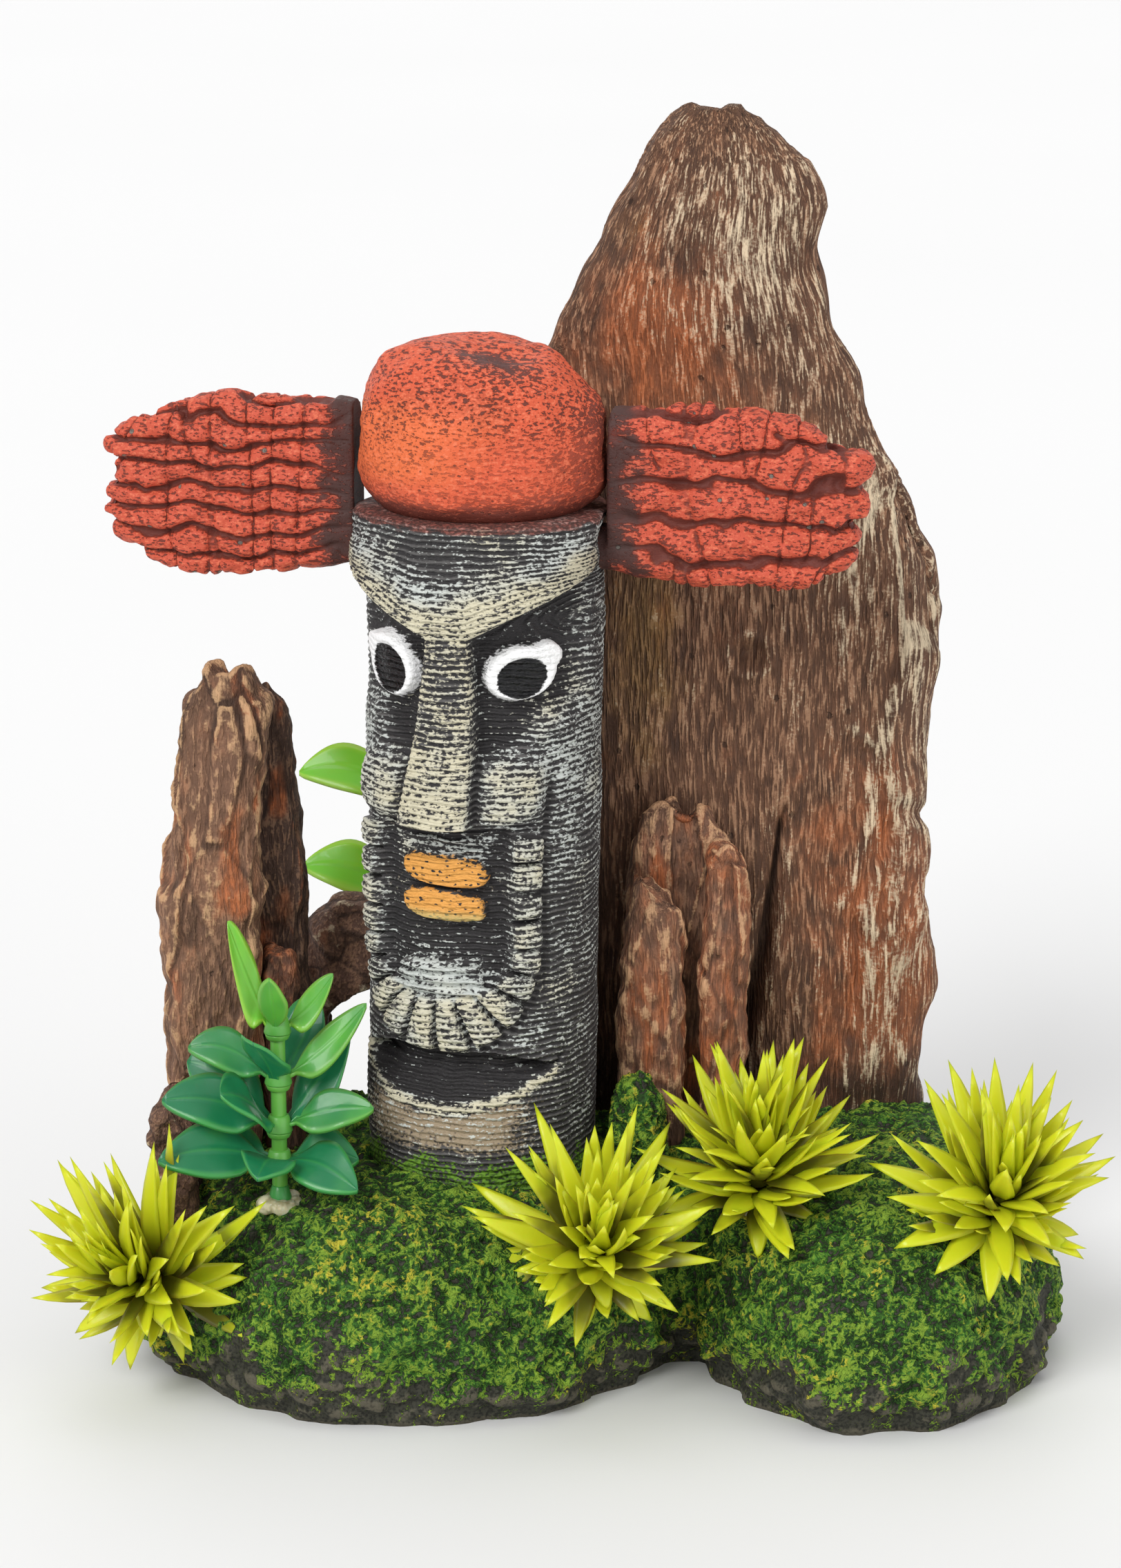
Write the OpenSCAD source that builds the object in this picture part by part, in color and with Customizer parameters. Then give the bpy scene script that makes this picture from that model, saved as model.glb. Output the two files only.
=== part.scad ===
// Tiki figure ornament: a carved-face totem with a red topknot and side wings, standing on a mossy
// two-lobed rock base with driftwood behind it and moulded plastic plants plugged into the rock.
// Millimetres, +Z up, front faces -Y, origin on the ground under the middle of the whole ornament.

/* [Rock base] */
// Height of the left lobe, which carries the totem
base_h = 34; // [28:1:41]
// Half width of the left lobe
left_lobe_a = 44.5; // [37:0.5:54]
// Half depth of the left lobe
left_lobe_b = 43; // [38:0.5:50]
// Half width of the right lobe
right_lobe_a = 30; // [26:0.5:36]
// Half depth of the right lobe
right_lobe_b = 45; // [38:0.5:50]
// How deep the castings are set into the rock
seat_depth = 14; // [10:0.5:16]
// Gap between a casting's foot and its seat, filled with glue
seat_gap = 0.15; // [0.05:0.05:0.3]

/* [Totem] */
// Radius of the column
column_r = 18.3; // [15:0.1:22]
// Height of the column above the rock
column_h = 99; // [82:1:119]
// Turn of the face towards the left of the front
face_turn = 24; // [0:1:35]
// Largest radius of the topknot
knot_r = 19; // [16:0.1:23]
// Height of the topknot
knot_h = 26; // [21:0.5:31]
// Radius of the pegs that hold the topknot and the wings
peg_r = 3.5; // [2.8:0.1:4.2]
// Depth of the peg holes
peg_depth = 6; // [4:0.5:7]
// Length of a side wing from the column to its tip
wing_len = 38; // [32:1:46]
// Height of a side wing
wing_h = 27; // [22:0.5:32]
// Thickness of a side wing
wing_t = 9; // [8.5:0.5:11]

/* [Driftwood] */
// Height of the big slab above the rock
slab_h = 155; // [130:1:186]
// Thickness of the big slab at its foot
slab_t = 21; // [17:0.5:24]
// Height of the left post above the rock
post_h = 73; // [60:1:88]
// Height of the stump above the rock
stump_h = 48; // [40:1:58]
// Gap between neighbouring pieces of wood and rock
wood_gap = 0.4; // [0.2:0.1:0.8]

/* [Cave] */
// Width of the cave under the arch rock
cave_w = 15; // [12:0.5:18]
// Height of the cave's crown above the rock
cave_h = 16; // [13:0.5:19]

/* [Plants] */
// Radius of a plant stem
stem_r = 1.2; // [1:0.05:1.4]
// Radius of a leaf hub
hub_r = 2.5; // [2.2:0.05:3]
// Running gap between a hub and its stem
hub_gap = 0.15; // [0.1:0.05:0.25]
// Thickness of a leaf
leaf_t = 1.1; // [0.9:0.05:1.3]
// Length of the longest grass blade
blade_len = 20; // [16:0.5:24]
// Width of a grass blade
blade_w = 3.4; // [2.8:0.1:4]
// Depth of a stem's hole in the rock
stem_depth = 8; // [6:0.5:10]

/* [Hidden] */

sides = 96;          // facets of drawn cylinders
ring_n = 24;         // points round a lofted piece
dome_n = 36;         // points round a rock lobe
eps = 0.5;           // how far a cut runs past the face it opens

// Rock lobes: centre x, centre y, half width, half depth, height
left_lobe = [-23, 3, left_lobe_a, left_lobe_b, base_h];
middle_lobe = [22, 15, 34, 31, base_h - 1.5];
right_lobe = [47, 2, right_lobe_a, right_lobe_b, base_h - 1];
lobe_flat = 3;       // power of the dome, higher is flatter on top
dome_steps = [0, 0.12, 0.3, 0.5, 0.68, 0.82, 0.92, 0.98];
undercut = 0.94;     // the foot of a lobe draws in to this share of its widest outline

seat_z = base_h - seat_depth;
foot_h = seat_depth + 3;   // straight part of every foot, up to just above the rock

column_x = -12;
column_y = -1;
column_top = base_h + column_h;
wing_z = column_top + 3;
wing_peg_z = column_top - peg_r - 2.5;
wing_root_r = max(column_r, knot_r) + 0.4;

// The back row stands just behind the column, and the stump just to its right
back_row_y = column_y + column_r + 0.7;
stump_x = column_x + column_r + 2;
post_x = left_lobe[0] - left_lobe_a + 7;
post_w = 13.5;
plank_x = post_x + post_w + wood_gap;

// ---- general shapes -------------------------------------------------------------------------

function signed_pow(c, e) = sign(c) * pow(abs(c), e);

// One closed outline through the four edges of a row, [height, left, right, front, back]
function row_ring(row, roundness, grow = 0) =
    let (cx = (row[1] + row[2]) / 2, cy = (row[3] + row[4]) / 2)
    let (a = (row[2] - row[1]) / 2 + grow, b = (row[4] - row[3]) / 2 + grow)
    [for (i = [0 : ring_n - 1])
        let (t = 360 * (i + 0.5) / ring_n)
        [cx + a * signed_pow(cos(t), roundness), cy + b * signed_pow(sin(t), roundness), row[0]]];

// A closed skin over rings of equal point count, each anticlockwise from above
module loft(rings) {
    n = len(rings[0]);
    last = len(rings) - 1;
    points = [for (r = rings) each r];
    walls = [for (k = [0 : last - 1], i = [0 : n - 1])
        let (j = (i + 1) % n)
        each [[k * n + i, (k + 1) * n + i, (k + 1) * n + j], [k * n + i, (k + 1) * n + j, k * n + j]]];
    floor_face = [for (i = [0 : n - 1]) i];
    top_face = [for (i = [n - 1 : -1 : 0]) last * n + i];
    polyhedron(points, concat([floor_face], walls, [top_face]), convexity = 6);
}

timber_round = 0.62;  // squarish section of split wood and broken rock

// Wood or rock standing in the base: rows are [height above the seat, left, right, front, back]
module timber(rows) {
    translate([0, 0, seat_z])
        loft([for (row = rows) row_ring(row, timber_round)]);
}

// The seat that such a piece needs in the rock
module timber_seat(rows) {
    outline = [for (p = row_ring(rows[0], timber_round, seat_gap)) [p[0], p[1]]];
    translate([0, 0, seat_z])
        linear_extrude(base_h) polygon(outline);
}

// ---- rock base ------------------------------------------------------------------------------

function dome_scale(share) = pow(1 - pow(share, lobe_flat), 1 / lobe_flat);

function dome_ring(lobe, share) =
    let (s = dome_scale(share) * (share == 0 ? undercut : 1))
    [for (i = [0 : dome_n - 1])
        let (t = 360 * i / dome_n)
        [lobe[0] + lobe[2] * s * cos(t), lobe[1] + lobe[3] * s * sin(t), lobe[4] * share]];

module lobe(l) {
    loft([for (share = dome_steps) dome_ring(l, share)]);
}

// Point on a lobe's skin, by direction from its middle and share of its outline
function lobe_point(l, angle, share) =
    [l[0] + l[2] * share * cos(angle), l[1] + l[3] * share * sin(angle), l[4] * dome_scale(share)];

// Point on a lobe's skin above a place in plan
function lobe_above(l, x, y) =
    let (share = norm([(x - l[0]) / l[2], (y - l[1]) / l[3]]))
    [x, y, l[4] * dome_scale(min(share, 0.97))];

// Plants: root point, then the stem's compass direction and its height angle
bead_r = stem_r + 2.1;
bead_h = 3;
bead_cone = 1;       // height of the bead's rounded-off top
bead_sink = 2;
hole_gap = 0.1;      // gap round a stem or a bead in its hole
glue_gap = 0.05;     // gap between a stem and its bead

broadleaf_root = lobe_above(left_lobe, column_x - 21.85 - column_r / 2, column_y - 19);
rear_root = lobe_above(left_lobe, column_x - 12, back_row_y + 23.5);
plants = [
    [broadleaf_root, 0, 90],
    [rear_root, 0, 90],
    [lobe_point(left_lobe, 212, 0.955), -122, 18],
    [lobe_point(left_lobe, -47, 0.62 + column_r / 70.4), -84, 26],
    [lobe_point(right_lobe, 214, 0.72), -88, 58],
    [lobe_point(right_lobe, -43, 0.76), -80, 42],
];

module at_plant(p) {
    translate(p[0]) rotate([0, 90 - p[2], p[1]]) children();
}

module plant_hole(p) {
    at_plant(p) {
        translate([0, 0, -stem_depth]) cylinder(h = stem_depth + eps, r = stem_r + hole_gap, $fn = sides);
        translate([0, 0, -bead_sink]) cylinder(h = base_h, r = bead_r + hole_gap, $fn = sides);
    }
}

module mossy_base() {
    color([0.30, 0.42, 0.16])
    difference() {
        union() {
            lobe(left_lobe);
            lobe(middle_lobe);
            lobe(right_lobe);
        }
        translate([column_x, column_y, seat_z])
            cylinder(h = base_h, r = column_r + seat_gap, $fn = sides);
        for (rows = [slab_rows, crest_rows, left_prong_rows, right_prong_rows, post_front_rows,
                     post_back_rows, plank_rows, corner_rows, knob_rows])
            timber_seat(rows);
        difference() {
            timber_seat(arch_rows);
            cave_void(-seat_gap);
        }
        for (p = plants) plant_hole(p);
    }
}

// ---- wood and rocks -------------------------------------------------------------------------

// Heights above the seat: the foot, then shares of the piece's height above the rock
function up(h, share) = seat_depth + h * share;

slab_y = back_row_y;
slab_rows = [
    [0, -4, 58, slab_y, slab_y + slab_t],
    [foot_h, -4, 58, slab_y, slab_y + slab_t],
    [up(slab_h, 0.09), -5, 60.5, slab_y, slab_y + slab_t],
    [up(slab_h, 0.14), -5, 60.5, slab_y, slab_y + slab_t],
    [up(slab_h, 0.22), -5.5, 56.5, slab_y, slab_y + slab_t],
    [up(slab_h, 0.32), -6, 56.5, slab_y, slab_y + slab_t],
    [up(slab_h, 0.44), -6, 59.3, slab_y, slab_y + slab_t],
    [up(slab_h, 0.51), -6, 60.2, slab_y, slab_y + slab_t],
    [up(slab_h, 0.55), -6, 59, slab_y, slab_y + slab_t],
    [up(slab_h, 0.60), -6, 55.8, slab_y + 0.5, slab_y + slab_t - 1],
    [up(slab_h, 0.66), -5.5, 49.5, slab_y + 1, slab_y + slab_t - 2],
    [up(slab_h, 0.76), -4, 44.2, slab_y + 1.5, slab_y + slab_t - 3],
    [up(slab_h, 0.82), 1.2, 40.5, slab_y + 2, slab_y + slab_t - 4],
    [up(slab_h, 0.86), 4, 39.2, slab_y + 2.5, slab_y + slab_t - 4.5],
    [up(slab_h, 0.90), 6.8, 39.8, slab_y + 3, slab_y + slab_t - 5],
    [up(slab_h, 0.945), 10.5, 37.8, slab_y + 4, slab_y + slab_t - 6],
    [up(slab_h, 0.975), 14.2, 33.2, slab_y + 5.5, slab_y + slab_t - 7],
    [up(slab_h, 1), 19.5, 27.5, slab_y + 8, slab_y + slab_t - 9],
];

crest_y = slab_y - wood_gap - 6.6;
crest_rows = [
    [0, stump_x + 1, stump_x + 20.5, crest_y, slab_y - wood_gap],
    [foot_h, stump_x + 1, stump_x + 20.5, crest_y, slab_y - wood_gap],
    [up(stump_h, 0.55), stump_x + 1, stump_x + 20.5, crest_y, slab_y - wood_gap],
    [up(stump_h, 0.86), stump_x + 1.5, stump_x + 19, crest_y + 0.4, slab_y - wood_gap],
    [up(stump_h, 1), stump_x + 3, stump_x + 14, crest_y + 1.5, slab_y - wood_gap - 1],
];

prong_back = crest_y - wood_gap;
left_prong_rows = [
    [0, stump_x, stump_x + 10.6, prong_back - 9, prong_back],
    [foot_h, stump_x, stump_x + 10.6, prong_back - 9, prong_back],
    [up(stump_h, 0.50), stump_x, stump_x + 10.6, prong_back - 8.6, prong_back],
    [up(stump_h, 0.70), stump_x + 0.8, stump_x + 9.8, prong_back - 7.6, prong_back],
    [up(stump_h, 0.80), stump_x + 1.8, stump_x + 5.6, prong_back - 6, prong_back - 1.4],
];

right_prong_x = stump_x + 12.8;
right_prong_rows = [
    [0, right_prong_x, right_prong_x + 7.4, prong_back - 7, prong_back],
    [foot_h, right_prong_x, right_prong_x + 7.4, prong_back - 7, prong_back],
    [up(stump_h, 0.60), right_prong_x, right_prong_x + 7.2, prong_back - 6.4, prong_back],
    [up(stump_h, 0.84), right_prong_x + 0.2, right_prong_x + 7.2, prong_back - 5.6, prong_back],
    [up(stump_h, 0.91), right_prong_x + 1.8, right_prong_x + 5.6, prong_back - 4.4, prong_back - 1.4],
];

post_y = -5;
post_t = 10.5;
post_front_rows = [
    [0, post_x, post_x + post_w, post_y, post_y + post_t],
    [foot_h, post_x, post_x + post_w, post_y, post_y + post_t],
    [up(post_h, 0.45), post_x - 0.8, post_x + post_w, post_y, post_y + post_t],
    [up(post_h, 0.50), post_x - 0.8, post_x + post_w + 1, post_y, post_y + post_t],
    [up(post_h, 0.74), post_x, post_x + post_w + 1.4, post_y + 0.6, post_y + post_t],
    [up(post_h, 0.93), post_x + 2, post_x + post_w + 2.6, post_y + 1.4, post_y + post_t],
    [up(post_h, 1), post_x + 6, post_x + post_w - 0.5, post_y + 3, post_y + post_t - 2],
];

post_back_y = post_y + post_t + wood_gap;
post_back_rows = [
    [0, post_x + 7, post_x + 20.6, post_back_y, post_back_y + 9],
    [foot_h, post_x + 7, post_x + 20.6, post_back_y, post_back_y + 9],
    [up(post_h, 0.49), post_x + 7, post_x + 21, post_back_y, post_back_y + 9],
    [up(post_h, 0.78), post_x + 6.5, post_x + 19.8, post_back_y, post_back_y + 8.4],
    [up(post_h, 0.90), post_x + 8, post_x + 18, post_back_y + 0.4, post_back_y + 7],
    [up(post_h, 0.94), post_x + 10, post_x + 15.5, post_back_y + 1.6, post_back_y + 5.4],
];

plank_rows = [
    [0, plank_x, plank_x + 6.4, post_y + 4, post_y + post_t],
    [foot_h, plank_x, plank_x + 6.4, post_y + 4, post_y + post_t],
    [up(post_h, 0.27), plank_x, plank_x + 5.8, post_y + 4.2, post_y + post_t],
    [up(post_h, 0.38), plank_x + 0.9, plank_x + 4.4, post_y + 5.2, post_y + post_t - 1.2],
];

arch_x = column_x - 32;
arch_w = 36.5;
arch_y = back_row_y;
arch_rows = [
    [0, arch_x, arch_x + arch_w, arch_y, arch_y + 17.5],
    [foot_h, arch_x, arch_x + arch_w, arch_y, arch_y + 17.5],
    [up(cave_h, 1.1), arch_x + 0.4, arch_x + arch_w, arch_y, arch_y + 17],
    [up(cave_h, 1.6), arch_x + 2.6, arch_x + arch_w - 2, arch_y + 0.8, arch_y + 15.5],
    [up(cave_h, 1.85), arch_x + 7, arch_x + arch_w - 8, arch_y + 3, arch_y + 12],
];

corner_rows = [
    [0, post_x - 3.4, post_x + 4.6, post_y - wood_gap - 8.4, post_y - wood_gap],
    [seat_depth * 0.72, post_x - 3.4, post_x + 4.6, post_y - wood_gap - 8.4, post_y - wood_gap],
    [seat_depth + 5, post_x - 3, post_x + 4.2, post_y - wood_gap - 7.6, post_y - wood_gap],
    [seat_depth + 10.5, post_x - 0.6, post_x + 2.4, post_y - wood_gap - 5, post_y - wood_gap - 1.4],
];

knob_x = column_x + column_r + 1.2;
knob_h = 10;         // height above the rock
knob_rows = [
    [0, knob_x, knob_x + 7.4, column_y - 10, column_y - 1],
    [foot_h, knob_x, knob_x + 7.4, column_y - 10, column_y - 1],
    [up(knob_h, 0.75), knob_x + 0.4, knob_x + 6.6, column_y - 9, column_y - 1.6],
    [up(knob_h, 1), knob_x + 2, knob_x + 5, column_y - 7, column_y - 3.6],
];

// The cave: a round-topped passage through the arch rock along Y
cave_x = arch_x + 14;
module cave_void(grow = 0) {
    w = cave_w / 2 + grow;
    depth = 40;
    crown = base_h + cave_h + grow - w;
    translate([cave_x, arch_y - depth / 4, crown])
        rotate([-90, 0, 0]) cylinder(h = depth, r = w, $fn = sides);
    translate([cave_x - w, arch_y - depth / 4, 0])
        cube([2 * w, depth, crown]);
}

module driftwood_slab() {
    color([0.47, 0.33, 0.25]) timber(slab_rows);
}

module stump_crest() {
    color([0.50, 0.36, 0.28]) timber(crest_rows);
}

module stump_left_prong() {
    color([0.58, 0.42, 0.31]) timber(left_prong_rows);
}

module stump_right_prong() {
    color([0.55, 0.40, 0.30]) timber(right_prong_rows);
}

module left_post_front() {
    color([0.55, 0.43, 0.34]) timber(post_front_rows);
}

module left_post_back() {
    color([0.38, 0.29, 0.24]) timber(post_back_rows);
}

module arch_rock() {
    color([0.36, 0.29, 0.25])
    difference() {
        timber(arch_rows);
        cave_void();
    }
}

module arch_plank() {
    color([0.45, 0.33, 0.27]) timber(plank_rows);
}

module corner_rock() {
    color([0.42, 0.36, 0.33]) timber(corner_rows);
}

module moss_knob() {
    color([0.26, 0.46, 0.18]) timber(knob_rows);
}

// ---- totem ----------------------------------------------------------------------------------

// Heights on the face are above the rock, on a column of this height, and stretch with the column
face_scale = column_h / 99;
carved_n = 32;       // facets of a carved bump
brow_foot_h = 84;    // the brow's lower end, over the nose
brow_foot_angle = 3;
brow_tip_h = 91;     // the brow's upper end, by the temple
brow_tip_angle = 55;
brow_r = 2.2;
eye_h = 77.2;
eye_angle = 38.5;
eye_r = 4.9;
eye_out = 0.8;
nose_top_h = 82;
nose_top_r = 2.6;
nose_foot_h = 57.6;
nose_foot_r = 3.6;
nostril_h = 58.6;
nostril_angle = 29;
nostril_r = 4.2;
mouth_h = 43.3;
lip_w = 14.8;
lip_r = 2;
lip_gap = 0.9;       // between the upper and the lower lip
lip_out = 0.4;       // how far the lips stand out of the face
tooth_r = 2.3;
tooth_pitch = 4.5;
cheek_teeth = 4;     // teeth in a row down each cheek
chin_teeth = 10;     // teeth round under the mouth
jaw_angle = 44.8;    // half width of the ring of teeth
jaw_h = 35;          // height where the cheek teeth turn in under the mouth
jaw_drop = 11;       // how far the chin teeth hang below that
feature_sink = 2.5;  // how far a carved feature is rooted in the column

// Puts children on the column's skin: degrees round from the face's middle, height on the face
module on_face(angle, h, out = 0) {
    translate([column_x, column_y, base_h + h * face_scale])
        rotate([0, 0, -90 - face_turn + angle])
            translate([column_r + out, 0, 0]) children();
}

module bump(angle, h, r, out = 0) {
    on_face(angle, h, out) sphere(r = r, $fn = carved_n);
}

module brow(side) {
    hull() {
        bump(side * brow_foot_angle, brow_foot_h, brow_r);
        bump(side * brow_tip_angle, brow_tip_h, brow_r, -1);
    }
}

module nose() {
    hull() {
        bump(0, nose_top_h, nose_top_r, -0.4);
        bump(0, nose_foot_h, nose_foot_r, 0.6);
    }
    for (side = [-1, 1]) bump(side * nostril_angle, nostril_h, nostril_r, -2.6);
}

module eye(side) {
    on_face(side * eye_angle, eye_h)
        rotate([0, 90, 0]) translate([0, 0, -feature_sink])
            cylinder(h = feature_sink + eye_out, r = eye_r, $fn = sides);
}

module lips() {
    for (side = [-1, 1])
        on_face(0, mouth_h + side * (lip_r + lip_gap / 2), lip_out - lip_r) translate([0, -lip_w / 2, 0])
            rotate([-90, 0, 0]) cylinder(h = lip_w, r = lip_r, $fn = sides);
}

// Teeth stand in a U: down one cheek, round under the mouth and up the other cheek
module teeth() {
    for (side = [-1, 1], i = [1 : cheek_teeth])
        bump(side * jaw_angle, jaw_h + (i - 0.5) * tooth_pitch, tooth_r, -1);
    for (i = [1 : chin_teeth]) {
        t = 180 * (i - 0.5) / chin_teeth;
        bump(jaw_angle * cos(t), jaw_h - jaw_drop * sin(t), tooth_r, -1);
    }
}

module totem_column() {
    color([0.32, 0.32, 0.31])
    difference() {
        union() {
            translate([column_x, column_y, seat_z])
                cylinder(h = column_top - seat_z, r = column_r, $fn = sides);
            for (side = [-1, 1]) {
                brow(side);
                eye(side);
            }
            nose();
            lips();
            teeth();
        }
        translate([column_x, column_y, column_top - peg_depth])
            cylinder(h = peg_depth + eps, r = peg_r + seat_gap, $fn = sides);
        for (side = [0, 180])
            wing_frame(side) translate([column_r - peg_depth, 0, wing_peg_z])
                rotate([0, 90, 0]) cylinder(h = peg_depth + eps, r = peg_r + seat_gap, $fn = sides);
    }
}

module red_topknot() {
    shoulder = knot_h * 0.55;
    color([0.85, 0.38, 0.27])
    translate([column_x, column_y, column_top]) {
        rotate_extrude($fn = sides)
            polygon([[0, 0], [knot_r - 3, 0], [knot_r - 0.8, knot_h * 0.14], [knot_r, knot_h * 0.32],
                     [knot_r - 0.5, shoulder], [knot_r - 2.4, knot_h * 0.76], [knot_r - 6, knot_h * 0.91],
                     [knot_r - 11, knot_h], [knot_r - 15, knot_h * 0.98], [0, knot_h * 0.95]]);
        translate([0, 0, -peg_depth]) cylinder(h = peg_depth + eps, r = peg_r, $fn = sides);
    }
}

// Wings: local +X runs outwards from the column's axis
module wing_frame(side) {
    translate([column_x, column_y, 0]) rotate([0, 0, side - wing_turn]) children();
}

wing_turn = 9;       // how far the pair of wings is turned about the column
// Stations along a wing: share of its length, share of its height, share of its thickness
wing_stations = [[-0.12, 0.86, 0.8], [0.1, 0.94, 1], [0.45, 1, 1], [0.75, 0.96, 1], [0.93, 0.8, 0.86],
                 [1, 0.6, 0.5]];
wing_round = 0.5;

module wing_body(tip_drop) {
    rotate([0, 90, 0])
        loft([for (s = wing_stations)
            let (hw = wing_h * s[1] / 2, ht = wing_t * s[2] / 2, z = wing_z - tip_drop * max(s[0], 0))
            row_ring([wing_root_r + wing_len * s[0], -z - hw, -z + hw, -ht, ht], wing_round)]);
}

module wing(side, tip_drop) {
    wing_frame(side) {
        difference() {
            wing_body(tip_drop);
            cylinder(h = 2 * column_top, r = wing_root_r, $fn = sides);
        }
        translate([column_r - peg_depth, 0, wing_peg_z])
            rotate([0, 90, 0])
                cylinder(h = peg_depth + wing_root_r - column_r + 3, r = peg_r, $fn = sides);
    }
}

module left_wing() {
    color([0.82, 0.36, 0.28]) wing(180, 2);
}

module right_wing() {
    color([0.84, 0.37, 0.28]) wing(0, 2.5);
}

// ---- plants ---------------------------------------------------------------------------------

leaf_steps = [0, 0.12, 0.28, 0.45, 0.62, 0.8, 0.92, 1];
leaf_tip = 0.15;

function leaf_half_width(s, width, neck) =
    s < 0.12 ? neck
             : max(leaf_tip, neck * (1 - s) + width / 2 * sin(180 * pow((s - 0.12) / 0.88, 0.85)));

// A leaf or blade reaching out along +X: its ring at share s of its length
function leaf_ring(s, reach, rise, sag, width, neck, thick, cup) =
    let (w = leaf_half_width(s, width, neck), x = 1.4 + (reach - 1.4) * s)
    let (z = rise * s + sag * sin(180 * s), t = thick / 2 * (1 - 0.6 * s))
    [[x, -w, z + cup * w], [x, 0, z - t], [x, w, z + cup * w], [x, 0, z + t + cup * w * 0.3]];

module leaf(reach, rise, width, sag = 0, neck = 0.8, thick = leaf_t, cup = 0.15) {
    loft([for (s = leaf_steps) leaf_ring(s, reach, rise, sag, width, neck, thick, cup)]);
}

collar_t = 1;        // thickness of the collar that a hub rests on
collar_out = 0.8;    // how far the collar stands out of the stem
hub_h = 2.6;
stem_end = 0.7;      // how far a stem shows above its topmost hub

// A whorl: a hub with leaves, each [direction, reach, rise, width, sag]
module whorl(p, z, leaves) {
    at_plant(p) {
        difference() {
            union() {
                translate([0, 0, z]) cylinder(h = hub_h, r = hub_r, $fn = sides);
                for (l = leaves)
                    translate([0, 0, z + hub_h / 2]) rotate([0, 0, l[0]])
                        leaf(l[1], l[2], l[3], l[4]);
            }
            translate([0, 0, z - base_h])
                cylinder(h = 2 * base_h, r = stem_r + hub_gap, $fn = sides);
        }
    }
}

// A stem: a peg down in the rock, and a collar under each hub
module stem(p, top, hubs) {
    at_plant(p) {
        translate([0, 0, -stem_depth]) cylinder(h = stem_depth + top, r = stem_r, $fn = sides);
        for (z = hubs)
            translate([0, 0, z - collar_t]) cylinder(h = collar_t, r = stem_r + collar_out, $fn = sides);
    }
}

broadleaf_hubs = [6, 11.5, 19, 27];
broadleaf_lower = [[194, 19.5, 4, 5.2, -1], [-36, 15, -4, 5.4, 1.5], [-8, 9.5, -1.5, 4.4, 1],
                   [258, 9, 1, 4.6, 0.5]];
broadleaf_middle = [[182, 17, 2.5, 4.4, 1], [160, 15, 8, 8.6, 2], [-6, 14.5, 1.5, 3.6, 0.5],
                    [24, 12, 13.5, 6.4, -1.5]];
broadleaf_upper = [[178, 13.5, 5, 4.4, 1.5], [52, 9.5, 10, 6.4, -1.5], [10, 13.5, 9.5, 4, -1.5]];
broadleaf_top = [[168, 7, 15.5, 6, -1], [8, 8.5, 7, 4.2, -1]];

module broadleaf_stem() {
    color([0.16, 0.52, 0.33]) stem(plants[0], broadleaf_hubs[3] + hub_h + stem_end, broadleaf_hubs);
}

module broadleaf_lower_whorl() {
    color([0.13, 0.45, 0.29]) whorl(plants[0], broadleaf_hubs[0], broadleaf_lower);
}

module broadleaf_middle_whorl() {
    color([0.15, 0.50, 0.31]) whorl(plants[0], broadleaf_hubs[1], broadleaf_middle);
}

module broadleaf_upper_whorl() {
    color([0.20, 0.60, 0.30]) whorl(plants[0], broadleaf_hubs[2], broadleaf_upper);
}

module broadleaf_top_sprig() {
    color([0.35, 0.72, 0.22]) whorl(plants[0], broadleaf_hubs[3], broadleaf_top);
}

rear_hubs = [37, 53];
rear_lower = [[176, 18, 5, 5, 1.5], [4, 12, 4, 4.6, 1.5]];
rear_upper = [[174, 18, 6, 5, 1.5], [262, 14, 4, 4.6, 1.5], [6, 12, 6, 4.6, 1]];

module rear_plant_stem() {
    color([0.25, 0.62, 0.22]) stem(plants[1], rear_hubs[1] + hub_h + stem_end, rear_hubs);
}

module rear_plant_lower_whorl() {
    color([0.40, 0.74, 0.20]) whorl(plants[1], rear_hubs[0], rear_lower);
}

module rear_plant_upper_whorl() {
    color([0.40, 0.74, 0.20]) whorl(plants[1], rear_hubs[1], rear_upper);
}

// Grass: an outer and an inner rosette of blades on a stem that ends in a small sprig of its own
outer_z = 2.4;
inner_z = 6.2;
sprig_z = 10;

// A small repeatable wobble, from -1 to 1, for blade number i
function wobble(i, seed) = sin(i * 137.5 + seed * 71);

// Blades between two directions: [direction, reach, rise, width, sag]
function blades(count, from, to, tilt, size, seed) =
    [for (i = [0 : count - 1])
        let (a = from + (to - from) * (i + 0.5) / count + 3 * wobble(i, seed))
        let (e = tilt + 6 * wobble(i, seed + 3), l = blade_len * size * (1 + 0.1 * wobble(i, seed + 5)))
        [a, l * cos(e), l * sin(e), blade_w * (1 + 0.08 * wobble(i, seed + 7)), -0.06 * l]];

module grass_stem(p, seed) {
    stem(p, sprig_z + 1.5, [outer_z, inner_z]);
    at_plant(p)
        for (l = blades(5, 0, 360, 64, 0.62, seed))
            translate([0, 0, sprig_z]) rotate([0, 0, l[0]])
                translate([-1.4, 0, 0]) leaf(l[1] + 1.4, l[2], l[3] * 0.85, l[4], 0.6);
}

// Each tuft: plant number, outer blades [count, from, to, tilt, size], then inner blades
left_grass = [2, [13, 0, 360, 25, 1], [9, 10, 370, 44, 0.86]];
centre_grass = [3, [12, 0, 360, 22, 0.96], [9, 10, 370, 44, 0.84]];
middle_grass = [4, [11, -70, 250, 28, 0.90], [8, 20, 380, 52, 0.82]];
right_grass = [5, [12, 0, 360, 20, 0.96], [9, 10, 370, 46, 0.86]];

module tuft_rosette(tuft, row, z) {
    r = tuft[row];
    color([0.72, 0.74, 0.14])
        whorl(plants[tuft[0]], z, blades(r[0], r[1], r[2], r[3], r[4], tuft[0] * 2 + row));
}

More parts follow.
